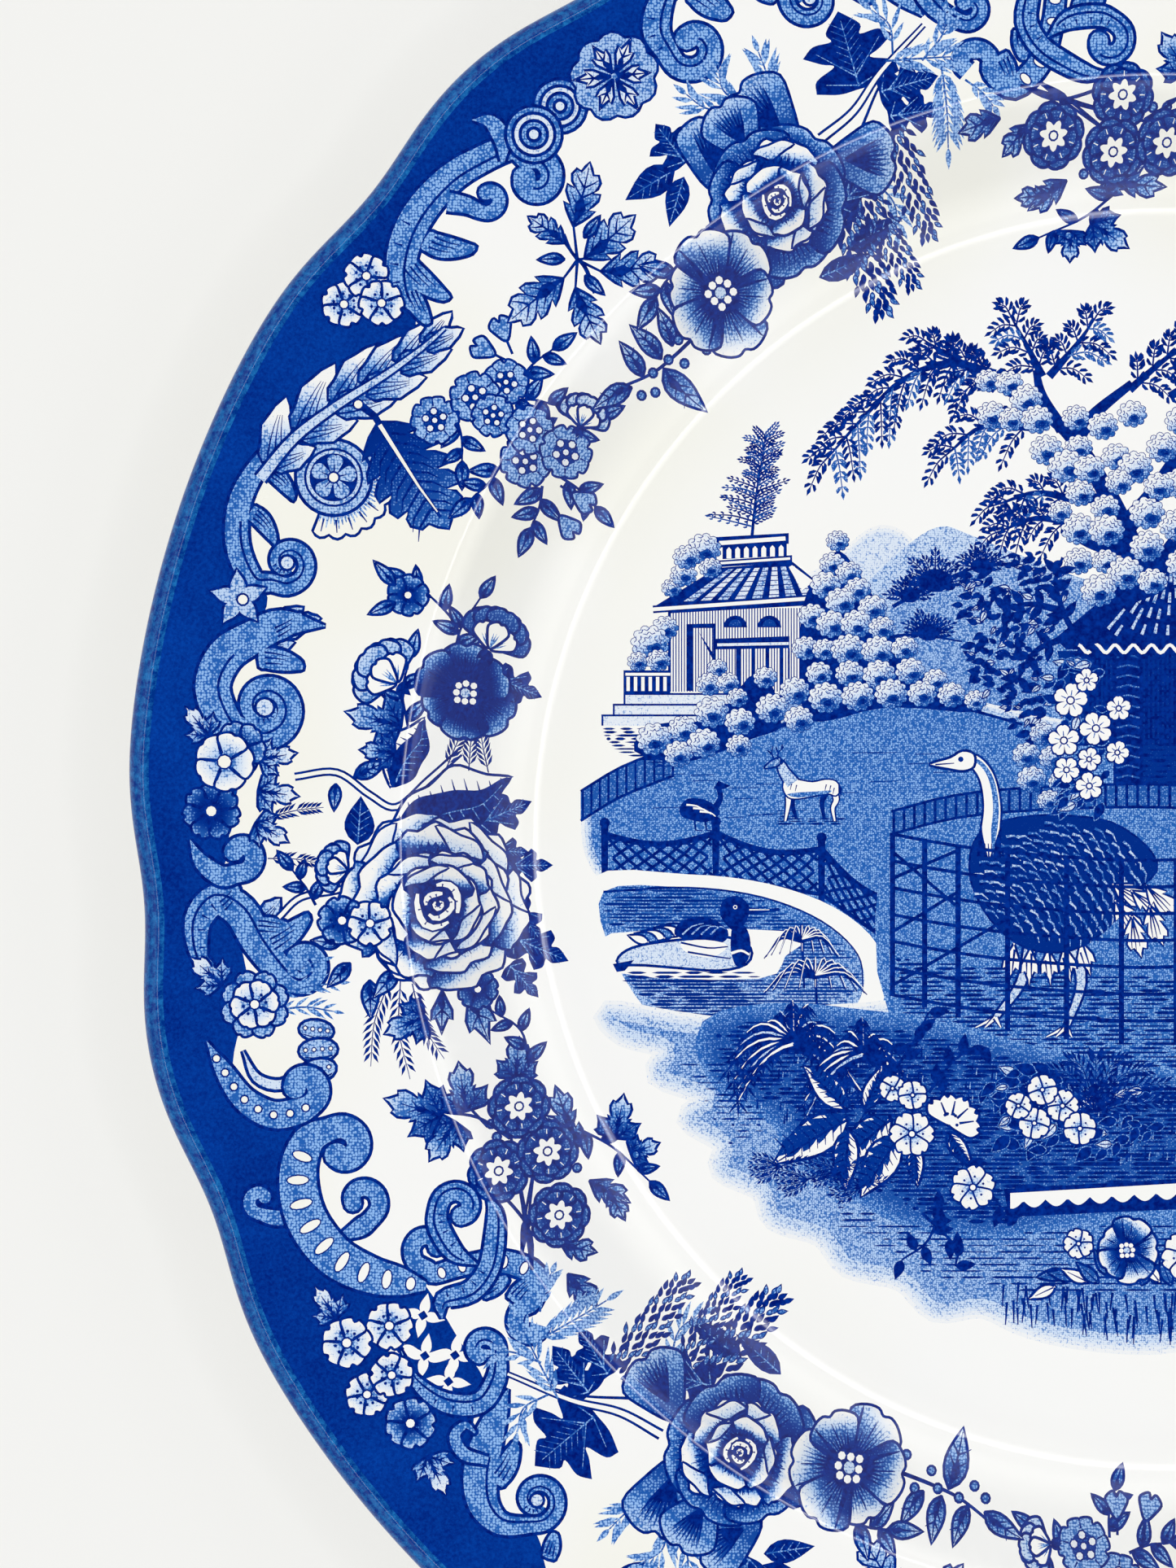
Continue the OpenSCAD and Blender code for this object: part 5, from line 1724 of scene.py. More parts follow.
def draw_tree(P):
    """The great tree over the right of the picture, and the creeper before the hill."""
    for line, s, length in ((((-24, 69.4), (-31, 71), (-38, 68.4), (-44, 62.6), (-48.6, 57.4)), 1, 7.4),
                            (((-24, 67), (-29, 71), (-34, 74)), 8, 6.0),
                            (((-17, 69), (-19, 73), (-21.4, 77.4)), 3, 6.4),
                            (((-16, 69), (-12, 73.6), (-9.6, 77)), 4, 6.4),
                            (((-18, 61.4), (-26, 61.4), (-31, 57.6)), 2, 6.6),
                            (((-12, 50.6), (-18, 51.6), (-23.4, 50)), 6, 6.0),
                            (((-12, 47), (-18, 47.8), (-23, 46)), 7, 6.0),
                            (((-4, 67), (0.6, 71), (7, 76)), 5, 6.6), (((2, 66), (9, 70), (18, 71)), 9, 7.0),
                            (((5, 58), (14, 60), (24, 58), (30, 53)), 10, 7.0),
                            (((4, 50), (12, 50), (20, 46)), 11, 6.4)):
        hanging_bough(P, line, s * 11, length)
    for line, w0, w1 in ((((-1, 36), (-4, 44), (-7.6, 52), (-13.6, 61), (-24, 68)), 4.4, 1.2),
                         (((-12, 59.6), (-9, 63.6), (-3.6, 68)), 2.4, 1.2),
                         (((-14, 61), (-17, 66), (-18, 70)), 2.0, 1.0),
                         (((-5, 46), (0, 52), (5, 60), (8, 66)), 3.2, 1.4),
                         (((-7, 51), (-13, 50.4)), 1.8, 0.8), (((-4, 43), (-9, 43.6), (-14, 46)), 2.0, 0.8),
                         (((0, 40), (6, 46), (12, 48)), 2.6, 1.0)):
        q = spline(line, 5)
        P.fill(ribbon(q, np.linspace(w0, w1, len(q))))
    for i, (x, y, r) in enumerate((
                                      (-25.2, 68.4, 1.9), (-22, 68, 2.1), (-19.4, 65.6, 2.5),
                                      (-24.6, 63.2, 2.3), (-21.6, 62.6, 2.0), (-17.8, 62.6, 2.4),
                                      (-12, 62.8, 2.1), (-8, 61.6, 2.3), (-3.6, 63.4, 2.2), (-16.4, 58, 2.5),
                                      (-11.6, 58.4, 2.1), (-13.4, 55.6, 2.8), (-10, 55.2, 2.4), (-6, 57, 2.2),
                                      (-3.2, 55.4, 2.7), (1, 58.4, 2.5), (3.6, 62.4, 2.3), (-5.6, 53.2, 2.1),
                                      (-11.4, 51.6, 2.2), (-7.6, 49.4, 2.2), (-14.4, 48.8, 1.8),
                                      (-11.6, 46.2, 2.6), (-7.4, 46, 2.7), (-1.4, 48.6, 2.7), (3.4, 53, 2.5),
                                      (7.2, 56.4, 2.4), (-1.4, 43.6, 2.6), (-11.6, 41.4, 2.2),
                                      (-7.6, 41.4, 2.0), (3, 46.8, 2.6), (8, 50.6, 2.5), (-4.6, 39.6, 2.8),
                                      (-8.6, 37, 2.7), (4, 41, 2.6), (9.4, 45.4, 2.4), (12.2, 60.4, 2.2),
                                      (8.6, 61.6, 2.1), (-0.6, 38.4, 2.2), (0.4, 52.6, 2.3))):
        puff(P, x, y, r, i * 2.3, 0.3)
    leaf_cloud(P,
               [(-31, 37), (-28, 40), (-21, 43), (-13, 41.6), (-12, 36), (-16, 30), (-15, 22), (-17, 12),
                (-20, 15), (-24, 21), (-29, 27), (-26, 31)],
               210, 3, 1.5)
    for line in (((-9, 28), (-13, 32), (-15, 38), (-14, 42)), ((-12, 30.4), (-18, 28), (-21, 23)),
                 ((-14, 34), (-19, 35), (-23, 34))):
        q = spline(line, 5)
        P.fill(ribbon(q, np.linspace(1.2, 0.4, len(q))))
        for k in range(3, len(q) - 1, 3):
            for side in (60, -60):
                g = q[k + 1] - q[k - 1]
                a = heading(g) + side
                P.at(q[k][0], q[k][1], a).fill(leaf_shape(3.0, 1.5))
    for i, (x, y, r) in enumerate((
                                      (-17, 15.6, 1.9), (-19.4, 12.4, 2.1), (-15.4, 12, 2.1),
                                      (-18.6, 8.8, 2.2), (-14.2, 8.4, 1.9), (-16, 5.6, 1.8))):
        puff(P, x, y, r, i * 3.1, 0.4)
    leaf_cloud(P, [(-15.6, 27), (-7, 27), (-7, 4), (-14, 4)], 70, 9, 1.9, 0.14)
    for x, y, r, t in ((-12.8, 20.6, 2.5, 10), (-9, 16.4, 2.4, 40), (-13.8, 14.6, 2.3, 22),
                       (-13.4, 10.2, 1.9, 55), (-10, 7.8, 2.0, 30), (-10, 11.8, 1.7, 0),
                       (-10.4, 23.6, 1.7, 20), (-5.6, 19.4, 1.8, 20), (-5.8, 12.8, 1.7, 70)):
        small_star(P, x, y, r, t)


def open_blossom(P, x, y, r, n, turn):
    """A white blossom with notched petals and a dot on each."""
    q = P.at(x, y, turn)
    p = petal(0.1 * r, r, 5.0 * r / n, 0.12)
    for i in range(n):
        f = q.at(turn=360 * i / n)
        f.fill(grown(p, 0.24))
        f.fill(grown(p, -0.06), DOTS, 0.4, 0.0, (0.2 * r, 0), (0.62 * r, 0))
        f.dab(0.5 * r, 0, 0.1 + 0.03 * r, n=6)
    ring(q, 0, 0, 0.16 * r + 0.14, 0.26)


def white_edged_leaf(P, x, y, turn, s, w):
    """A broad leaf, dark on one side of its rib and white with fine strokes on the other."""
    q = P.at(x, y, turn)
    p = leaf_shape(s, w, 0, 0.1)
    q.fill(grown(p, 0.34))
    q.fill(grown(p, -0.12), WHITE, 0)
    q.fill(leaf_shape(s * 0.94, w * 0.62, 4, 0.1) - [0, w * 0.12], DOTS, 0.8)
    q.stroke(spline([(0, 0), (s * 0.5, 0.04 * s), (s * 0.95, 0.1 * s)], 3), 0.46, 0.2)
    for i in range(8):
        x1 = s * (0.1 + 0.1 * i)
        q.stroke([(x1, -0.1), (x1 + 0.8, -w * 0.36)], 0.34, 0.12)
        q.stroke([(x1, 0.1), (x1 + 0.8, w * 0.34)], 0.26, 0.1)


def draw_foreground(P):
    dark = spline([(-66, -29), (-56, -27), (-44, -28), (-34, -29.4), (-20, -33), (-6, -36), (8, -38),
                   (18, -41), (34, -43), (52, -43.6), (62, -40), (54, -48), (40, -54), (22, -56), (4, -54),
                   (-10, -55), (-24, -57.6), (-36, -56), (-44, -52), (-52, -47), (-56, -41), (-64, -36)], 4,
                  True)
    soft(P, dark, (0.5, 0.55, 0.6, 0.64), 0.8)
    hatch(P, dark, 0.66, 0.44, 6.0, 31, LINE, 1.0, 3.0)
    hatch(P, [(-72, -33), (-60, -34), (-56, -44), (-64, -46), (-68, -40)], 0.9, 0.24, 4.0, 33, LINE, 1.0, 3.0)
    hatch(P,
          [(-52, -50), (-40, -57), (-24, -59), (2, -57), (40, -56), (48, -55), (30, -66), (2, -68),
           (-18, -68), (-34, -66), (-48, -58)],
          0.95, 0.26, 5.0, 34, LINE, 1.0, 4.0)
    for k in range(110):
        x, y = -60 + 112 * noise_of(k * 1.1), -31 - 19 * noise_of(k * 1.9 + 0.2)
        if y < -34 - 0.12 * (x + 20):
            P.stroke([(x, y), (x + 0.1, y + 1.2 + noise_of(k))], 0.34, 0.14)
            P.stroke([(x + 0.6, y), (x + 0.7, y + 1.0)], 0.16, 0.1, DOTS, 0.4)
    leaf_cloud(P, [(-26, -34), (-16, -35), (0, -37), (4, -42), (-6, -47), (-20, -47), (-28, -42)], 80, 21,
               2.2, 0.12)
    palm(P, -54.4, -31, 11.5, 17, 1)
    palm(P, -44, -32.6, 9, 13, 2, 0.8)
    for i in range(9):
        a = 12 + 19.5 * i
        feather(P, spline([(-9, -41), (-9 + 6 * math.cos(rad(a)), -41 + 7 * math.sin(rad(a))),
                           (-9 + 13 * math.cos(rad(a)), -41 + 8.4 * math.sin(rad(a)))], 4), 11, 2.2, 0.5)
    for x, y, t, s, w in ((-46, -42, 205, 13, 6.0), (-46.4, -40.6, 128, 9, 4.2), (-39.6, -42, 215, 10, 5.4),
                          (-46, -43.6, 262, 9, 4.0), (-38.4, -44.6, 232, 10.6, 5.6), (-31, -44, 300, 6, 2.6),
                          (-43.6, -40.4, 62, 7, 3.0), (-36, -46, 268, 6, 2.6), (28, -44, 205, 12, 5.6),
                          (29, -43, 128, 8, 4), (33, -45, 300, 9, 4.6), (31, -42, 62, 8, 3.6)):
        white_edged_leaf(P, x, y, t, s, w)
    for line in (((-40, -36), (-36, -30), (-34, -26)), ((-34, -38), (-30, -33), (-26, -31)),
                 ((-32, -54), (-34, -60), (-38, -63)), ((-30, -47), (-24, -54), (-22, -58)),
                 ((-35, -56), (-30, -61), (-30, -64))):
        s = spline(line, 4)
        P.stroke(s, 0.5, 0.3)
        for i in range(6):
            k = min(len(s) - 1, 1 + i * (len(s) - 2) // 5)
            P.at(s[k][0], s[k][1], 360 * noise_of(i + line[0][0])).fill(leaf_shape(3.2, 1.8))
    for x, y, r, n, t in ((-36.5, -44.2, 3.3, 6, 0), (-27.4, -52.2, 3.3, 6, 20), (-39.4, -37.4, 1.9, 4, 10),
                          (-36.4, -38.4, 2.1, 4, 50), (-18.2, -42.6, 2.3, 4, 30), (-14, -40, 2.4, 5, 5),
                          (-17, -37.6, 2.2, 4, 60), (-11.4, -43.4, 2.4, 4, 44), (-20.6, -40, 1.9, 4, 15),
                          (31, -48, 3.3, 6, 10), (24, -50, 2.6, 5, 20), (38, -50, 2.6, 5, 40),
                          (10, -46, 2.4, 5, 5), (14, -48.6, 2.4, 4, 30), (7, -49.4, 2.2, 4, 44)):
        open_blossom(P, x, y, r, n, t)
    q = P.at(-30.8, -42.8, 60)
    q.outlined([Pen(turn=a).sheet(petal(0, 4.6, 3.0, 0.1)) for a in (-70, -35, 0, 35, 70)], WHITE, 0, 0.42)
    for a in (-52, -18, 18, 52):
        q.at(turn=a).stroke([(1.4, 0), (3.6, 0)], 0.4, 0.2)
    for i in range(8):
        q.dab(1.6 * math.cos(i), 1.6 * math.sin(i) * 0.8 + 0.3, 0.26, n=6)
    P.fill([(-22.8, -52.4), (26, -49.6), (26, -54.4), (-22, -56.6)])
    edge = np.array([(x, -53.4 + 0.058 * (x + 22)) for x in np.arange(-21.8, 25.6, 0.35)])
    low = edge - np.c_[np.zeros(len(edge)), 0.9 + 1.1 * np.abs(np.sin(0.95 * edge[:, 0]))]
    P.fill(np.r_[edge + [0, 0.35], low[::-1]], WHITE, 0)
    for x, y in ((-56, -49), (-52, -51), (-47.6, -49.6), (-44, -52), (44, -50), (50, -47)):
        for a in (150, 175, 200, 225, 20):
            feather(P,
                    [(x, y), (x + 2.4 * math.cos(rad(a)), y + 2 * math.sin(rad(a))),
                     (x + 5 * math.cos(rad(a)), y + 3 * math.sin(rad(a)))],
                    6, 1.3, 0.36)
    for i in range(110):
        x = -23 + 56 * noise_of(i * 1.37)
        y = -67.6 - 5.0 * noise_of(i * 2.11 + 0.7) + 0.0042 * x * x
        P.stroke([(x, y), (x - 0.4 + noise_of(i), y - 2.2 - 1.5 * noise_of(i + 0.2))], 0.42, 0.16)
    for flip in (False, True):
        R = P.at(0, 0, 0, 1, flip)
        for i in range(12):
            q = R.at(-15 + 1.6 * i, -64.6 - 2.4 * noise_of(i * 1.7), 205 - 17 * i)
            q.outlined([leaf_shape(4.6, 2.1)], WHITE if i % 3 == 0 else DOTS, 0.0 if i % 3 == 0 else 0.6,
                       0.42)
            q.stroke([(0.4, 0), (3.4, 0)], 0.24, 0.1)
    bowl_flower(P.at(-4.4, -61.6), 4.6, 0.2, 5)
    open_blossom(P, 4.4, -62.4, 3.6, 6, 12)
    open_blossom(P, -11.6, -60.6, 2.2, 5, 40)
    open_blossom(P, 11.6, -60.8, 2.2, 5, 10)


def draw_right_half(P):
    """What stands on the right of the picture: a second pavilion, bushes, deer, a fence and a pond."""
    Q = P.at(0, 0, 0, 1, True)
    Q.stroke(spline([(-78, 8), (-66, 13), (-50, 16), (-34, 20), (-16, 18)], 5), 0.8, 0.5)
    pavilion(Q.at(17, -4, 0, 0.9))
    clump(Q,
          [(-62, 13), (-61, 18), (-56, 20), (-50, 19), (-42, 20), (-38, 26), (-33, 25), (-29, 21), (-38, 17),
           (-50, 13)],
          2.2, 41, 0.3)
    clump(Q, [(-31, 20), (-29, 28), (-24, 32), (-18, 30), (-14, 33), (-8, 28), (-8, 18), (-20, 16)], 2.3, 43,
          0.26)
    deer(Q.at(-56, 3, 0, 0.8))
    deer(Q.at(-44, 7, 0, 0.65))
    fence_run(Q, [(-80, -6), (-66, -4), (-50, -5), (-34, -9), (-18, -12), (-5, -12)], 6.4)
    bank = spline([(-74, -22), (-60, -16), (-38, -16), (-22, -20), (-17, -30), (-30, -39), (-50, -40),
                   (-68, -34)], 4, True)
    Q.fill(bank, WHITE, 0)
    pond = grown(bank, -1.8)
    Q.fill(pond, DOTS, 0.4)
    hatch(Q, pond, 0.62, 0.3, 8.0, 51, LINE, 1.0, 4.0)
    duck(Q.at(-46, -25))
    duck(Q.at(-30, -30, 0, 0.75))


def draw_scene():
    P = Pen()
    draw_far(P)
    draw_meadow(P)
    pavilion(P)
    draw_foliage(P)
    deer(P.at(-51.8, 7.0, 0, 0.74))
    little_bird(P.at(-67.6, 4.2))
    fence_run(P, [(-82.4, 0.6), (-65.8, 0.8), (-50, -1.6), (-38.6, -9.6), (-36.4, -20)], 6.8)
    draw_pond(P)
    draw_ground(P)
    draw_right_half(P)
    draw_hut(P)
    draw_enclosure(P)
    draw_tree(P)
    draw_foreground(P)


# ---------------------------------------------------------------- the china's own shape
MM = 0.001
EDGE_R = 152.5                        # radius of the glazed edge over its long lobes
LIP_R = 2.8                           # radius of the rounded lip, glaze included
THICK = 5.6                           # wall thickness, glaze on both sides included
FLOOR_R, FLOOR_Z = 88.0, 7.7
COVE_R, COVE_Z = 19.5, 27.2           # curve from the floor into the wall
WALL = rad(42)
WALL_LEN = 11.0
SHOULDER_R = 7.5                      # curve from the wall into the rim
SLOPE = rad(6.5)                      # angle of the rim
RECESS_Z = 2.1                        # height of the recess inside the foot ring
COVE_END = FLOOR_R + COVE_R * math.sin(WALL)
WALL_Z = COVE_Z - COVE_R * math.cos(WALL)
WALL_END = COVE_END + WALL_LEN * math.cos(WALL)
SHOULDER_X = WALL_END + SHOULDER_R * math.sin(WALL)
SHOULDER_Z = WALL_Z + WALL_LEN * math.sin(WALL) - SHOULDER_R * math.cos(WALL)
RIM_X = SHOULDER_X - SHOULDER_R * math.sin(SLOPE)
RIM_Z = SHOULDER_Z + SHOULDER_R * math.cos(SLOPE)
NOTCHES = [12.4 + s * 8.7 + 60 * k for k in range(6) for s in (-1, 1)]
NOTCH_DEPTH, NOTCH_SPREAD = 2.5, 3.7
RIM_N, TURNED_N = 960, 360            # points round the scalloped rim, and round what is turned


def face_z(r):
    """Height of the face at radius r."""
    r = np.asarray(r, float)
    cove = COVE_Z - np.sqrt(np.maximum(COVE_R**2 - np.clip(r - FLOOR_R, 0, None) ** 2, 1))
    wall = WALL_Z + (r - COVE_END) * math.tan(WALL)
    shoulder = SHOULDER_Z + np.sqrt(np.maximum(SHOULDER_R**2 - (r - SHOULDER_X) ** 2, 0))
    rim = RIM_Z + (r - RIM_X) * math.tan(SLOPE)
    return np.select([r <= FLOOR_R, r <= COVE_END, r <= WALL_END, r <= RIM_X],
                     [np.full_like(r, FLOOR_Z), cove, wall, shoulder], rim)


def face_tilt(r):
    """Slope of the face at radius r, in radians."""
    r = np.asarray(r, float)
    cove = np.arcsin(np.clip((r - FLOOR_R) / COVE_R, 0, 1))
    shoulder = np.arcsin(np.clip((SHOULDER_X - r) / SHOULDER_R, 0, 1))
    return np.select([r <= FLOOR_R, r <= COVE_END, r <= WALL_END, r <= RIM_X],
                     [np.zeros_like(r), cove, np.full_like(r, WALL), shoulder], SLOPE)


def edge_inset(a):
    """How far the edge at angle a, in degrees, lies inside the long lobes' radius."""
    a = np.asarray(a, float)
    total = 0
    for n in NOTCHES:
        d = (a - n + 180) % 360 - 180
        total = total + np.exp(-((d / NOTCH_SPREAD) ** 2) / 2)
    return NOTCH_DEPTH * np.minimum(total, 1)


def lip_centre(a):
    """Radius and height of the middle of the lip at angle a."""
    r = EDGE_R - LIP_R - edge_inset(a)
    z = RIM_Z + (r - RIM_X) * math.tan(SLOPE) - LIP_R / math.cos(SLOPE)
    return r, z


def face_edge(a):
    """Radius at angle a where the face ends and the rolled lip begins."""
    return lip_centre(a)[0] - LIP_R * math.sin(SLOPE)


# ---------------------------------------------------------------- cutting the face into inks
CURVED = (87, 114)                    # between these radii the face bends
CURVED_STEP, FLAT_STEP = 3.2, 6.0     # gaps between the loose points there and elsewhere
CELL, REACH = 2.0, 160                # a square of the search grid, and half the grid's side


def ground_points():
    """Loose points that let the cut face follow its curves."""
    rings = [*np.arange(8, FLOOR_R, 8.0), *np.linspace(FLOOR_R, COVE_END, 10), 104, 107,
             *np.linspace(WALL_END, RIM_X, 8), *np.arange(118, 147, 4.5)]
    out = [(0.01, 0.01)]
    for i, r in enumerate(rings):
        n = int(TAU * r / (CURVED_STEP if CURVED[0] < r < CURVED[1] else FLAT_STEP)) + 6
        a = (np.arange(n) + 0.5 * (i % 2)) * TAU / n + 0.01
        out.extend(np.c_[r * np.cos(a), r * np.sin(a)].tolist())
    return out


def rim_points():
    a = np.arange(RIM_N) * 360 / RIM_N
    r = face_edge(a)
    return np.c_[r * np.cos(np.radians(a)), r * np.sin(np.radians(a))]


def cut_sheet(shapes):
    """Triangles of the whole face such that no outline of the print crosses one."""
    points, edges = [], []
    for loop in [s[5] for s in shapes] + [rim_points()]:
        n, k = len(loop), len(points)
        points.extend(loop.tolist())
        edges.extend((k + i, k + (i + 1) % n) for i in range(n))
    points.extend(ground_points())
    v, _, f, *_ = delaunay_2d_cdt(points, edges, [], 0, 1e-4)
    v = np.array([tuple(p) for p in v])
    f = np.array(f)
    a, b, c = (v[f[:, k]] for k in range(3))
    turn = (b[:, 0] - a[:, 0]) * (c[:, 1] - a[:, 1]) - (b[:, 1] - a[:, 1]) * (c[:, 0] - a[:, 0])
    f[turn < 0] = f[turn < 0][:, ::-1]
    mid = (a + b + c) / 3
    r = np.hypot(mid[:, 0], mid[:, 1])
    top = face_edge(np.degrees(np.arctan2(mid[:, 1], mid[:, 0])))
    keep = (r < top) & (np.abs(turn) > 1e-7)
    return v, f[keep], mid[keep]


def inside(poly, p):
    """Which points lie inside an outline, by its winding number."""
    q = np.roll(poly, -1, 0)
    count = np.zeros(len(p), int)
    step = max(1, 4_000_000 // max(1, len(p)))
    for i in range(0, len(poly), step):
        a, b = poly[i:i + step], q[i:i + step]
        low = a[:, 1] <= p[:, 1, None]
        high = b[:, 1] > p[:, 1, None]
        side = (b[:, 0] - a[:, 0]) * (p[:, 1, None] - a[:, 1]) - (
            p[:, 0, None] - a[:, 0]) * (b[:, 1] - a[:, 1])
        count += (low & high & (side > 0)).sum(1) - (~low & ~high & (side < 0)).sum(1)
    return count != 0


def top_shapes(shapes, mid):
    """For each point, the index of the last shape drawn over it, or -1."""
    side = int(2 * REACH / CELL)
    ij = np.clip(((mid + REACH) / CELL).astype(int), 0, side - 1)
    key = ij[:, 1] * side + ij[:, 0]
    order = np.argsort(key, kind="stable")
    start = np.searchsorted(key[order], np.arange(side * side + 1))
    found = np.full(len(mid), -1)
    for k in range(len(shapes) - 1, -1, -1):
        p = shapes[k][5]
        lo, hi = p.min(0), p.max(0)
        c0 = np.clip(((lo + REACH) / CELL).astype(int), 0, side - 1)
        c1 = np.clip(((hi + REACH) / CELL).astype(int), 0, side - 1)
        rows = [order[start[j * side + c0[0]]:start[j * side + c1[0] + 1]] for j in range(c0[1], c1[1] + 1)]
        near = np.concatenate(rows)
        near = near[found[near] < 0]
        m = mid[near]
        near = near[((m >= lo) & (m <= hi)).all(1)]
        if len(near):
            found[near[inside(p, mid[near])]] = k
    return found


def tones_of(shapes, which, xy):
    """The tone at each corner of triangles whose shapes are given: xy is (n, 3, 2)."""
    t0 = np.array([s[1] for s in shapes])[which]
    t1 = np.array([s[2] for s in shapes])[which]
    a = np.array([s[3] for s in shapes])[which][:, None]
    d = np.array([s[4] for s in shapes])[which][:, None] - a
    u = ((xy - a) * d).sum(2) / np.maximum((d * d).sum(2), 1e-9)
    return t0[:, None] + (t1 - t0)[:, None] * np.clip(u, 0, 1)


def add_mesh(name, verts, faces, material, normal=None, tones=None):
    """A mesh in millimetres, riding on the platter's one body."""
    mesh = bpy.data.meshes.new(name)
    mesh.vertices.add(len(verts))
    mesh.vertices.foreach_set("co", (np.asarray(verts) * MM).astype(np.float32).ravel())
    faces = np.asarray(faces)
    n, k = faces.shape
    mesh.loops.add(n * k)
    mesh.loops.foreach_set("vertex_index", faces.astype(np.int32).ravel())
    mesh.polygons.add(n)
    mesh.polygons.foreach_set("loop_start", np.arange(0, n * k, k, dtype=np.int32))
    mesh.polygons.foreach_set("use_smooth", np.ones(n, bool))
    mesh.update(calc_edges=True)
    if tones is not None:
        layer = mesh.attributes.new("tone", "FLOAT", "CORNER")
        layer.data.foreach_set("value", tones.astype(np.float32).ravel())
    mesh.materials.append(material)
    if normal is not None:
        mesh.normals_split_custom_set_from_vertices(normal.astype(np.float32).tolist())
    ob = bpy.data.objects.new(name, mesh)
    bpy.context.scene.collection.objects.link(ob)
    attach(ob, "root")
    return ob


def face_piece(name, v, f, material, tones=None):
    used, index = np.unique(f, return_inverse=True)
    xy = v[used]
    r = np.hypot(xy[:, 0], xy[:, 1])
    tilt = face_tilt(r)
    out = xy / np.maximum(r, 1e-9)[:, None]
    normal = np.c_[-out * np.sin(tilt)[:, None], np.cos(tilt)]
    return add_mesh(name, np.c_[xy, face_z(r)], index.reshape(f.shape), material, normal, tones)


def ring_band(rings):
    """Points and faces through closed rings of equal point counts, (n, 3) each."""
    n = len(rings[0])
    i = np.arange(n)
    j = (i + 1) % n
    faces = [np.c_[k * n + i, k * n + j, (k + 1) * n + j, (k + 1) * n + i] for k in range(len(rings) - 1)]
    return np.concatenate(rings), np.concatenate(faces)


def disc_under(ring):
    """Points and faces that fill a ring of an even count, seen from below."""
    n = len(ring)
    i = np.arange(0, n, 2)
    return np.r_[ring, [ring.mean(0)]], np.c_[np.full(len(i), n), (i + 2) % n, i + 1, i]


def add_surface(name, material, *parts, normal=None):
    """One mesh of several (points, faces) parts."""
    verts, faces, start = [], [], 0
    for v, f in parts:
        verts.append(v)
        faces.append(f + start)
        start += len(v)
    return add_mesh(name, np.concatenate(verts), np.concatenate(faces), material, normal)


def lathe(points, n=TURNED_N):
    a = np.arange(n) * TAU / n
    return [np.c_[r * np.cos(a), r * np.sin(a), np.full(n, z)] for r, z in points]


def arc_points(x, z, r, a0, a1, n):
    return [(x + r * math.cos(rad(a0 + (a1 - a0) * i / n)), z + r * math.sin(rad(a0 + (a1 - a0) * i / n)))
            for i in range(n + 1)]


# ---------------------------------------------------------------- materials
class Nodes:
    """A material's node tree, built a node at a time."""

    def __init__(self, name):
        self.mat = bpy.data.materials.new(name)
        self.mat.use_nodes = True
        self.tree = self.mat.node_tree
        self.shader = self.tree.nodes["Principled BSDF"]
        self.place = self.new("ShaderNodeTexCoord").outputs["Object"]

    def new(self, kind, **values):
        node = self.tree.nodes.new(kind)
        for key, value in values.items():
            setattr(node, key, value)
        return node

    def link(self, a, b):
        self.tree.links.new(a, b)

    def put(self, socket, value):
        if isinstance(value, (int, float, tuple)):
            socket.default_value = value
        else:
            self.link(value, socket)

    def math(self, op, a, b):
        n = self.new("ShaderNodeMath", operation=op)
        for s, v in zip(n.inputs, (a, b)):
            self.put(s, v)
        return n.outputs[0]

    def mix(self, share, a, b):
        n = self.new("ShaderNodeMix", data_type="RGBA")
        self.put(n.inputs[0], share)
        self.put(n.inputs[6], a)
        self.put(n.inputs[7], b)
        return n.outputs[2]

    def noise(self, size_mm, detail=2.0, rough=0.5):
        n = self.new("ShaderNodeTexNoise")
        n.inputs["Scale"].default_value = 1000 / size_mm
        n.inputs["Detail"].default_value = detail
        n.inputs["Roughness"].default_value = rough
        self.link(self.place, n.inputs["Vector"])
        return n.outputs["Fac"]

    def spots(self, size_mm, jitter=1.0):
        n = self.new("ShaderNodeTexVoronoi")
        n.inputs["Scale"].default_value = 1000 / size_mm
        n.inputs["Randomness"].default_value = jitter
        self.link(self.place, n.inputs["Vector"])
        return n.outputs["Distance"]

    def span(self, value, low, high, to_low=0.0, to_high=1.0, smooth=False):
        n = self.new("ShaderNodeMapRange")
        if smooth:
            n.interpolation_type = "SMOOTHSTEP"
        for s, v in zip(n.inputs, (value, low, high, to_low, to_high)):
            self.put(s, v)
        return n.outputs[0]

    def bump(self, height, strength, distance_mm):
        n = self.new("ShaderNodeBump")
        n.inputs["Strength"].default_value = strength
        n.inputs["Distance"].default_value = distance_mm * MM
        self.link(height, n.inputs["Height"])
        self.link(n.outputs["Normal"], self.shader.inputs["Normal"])
        return n

    def set(self, **values):
        for key, value in values.items():
            self.put(self.shader.inputs[key.replace("_", " ")], value)


def srgb(r, g, b):
    return tuple((c / 255 / 12.92 if c <= 10 else ((c / 255 + 0.055) / 1.055) ** 2.4)
                 for c in (r, g, b)) + (1.0,)


GLAZE_ROUGH = 0.07
CHINA_SHINE, INK_SHINE, BAND_SHINE, LIP_SHINE = 0.28, 0.6, 0.5, 0.2
CHINA, CREAM = srgb(246, 246, 244), srgb(242, 241, 226)
COVE_PAINTED_LIGHT = srgb(255, 255, 252)      # painted light: the curve and wall are made whiter to offset the shade that falls on them
BORDER_DOT, SCENE_DOT = 0.42, 0.3     # distance between the engraver's dots


def glazed(name, shine):
    """Under a clear, hard, slightly uneven glaze."""
    m = Nodes(name)
    m.set(IOR=1.5, Roughness=GLAZE_ROUGH)
    m.shader.inputs["Specular IOR Level"].default_value = shine
    m.bump(m.noise(7.0, 1.0), 0.1, 0.05)
    return m


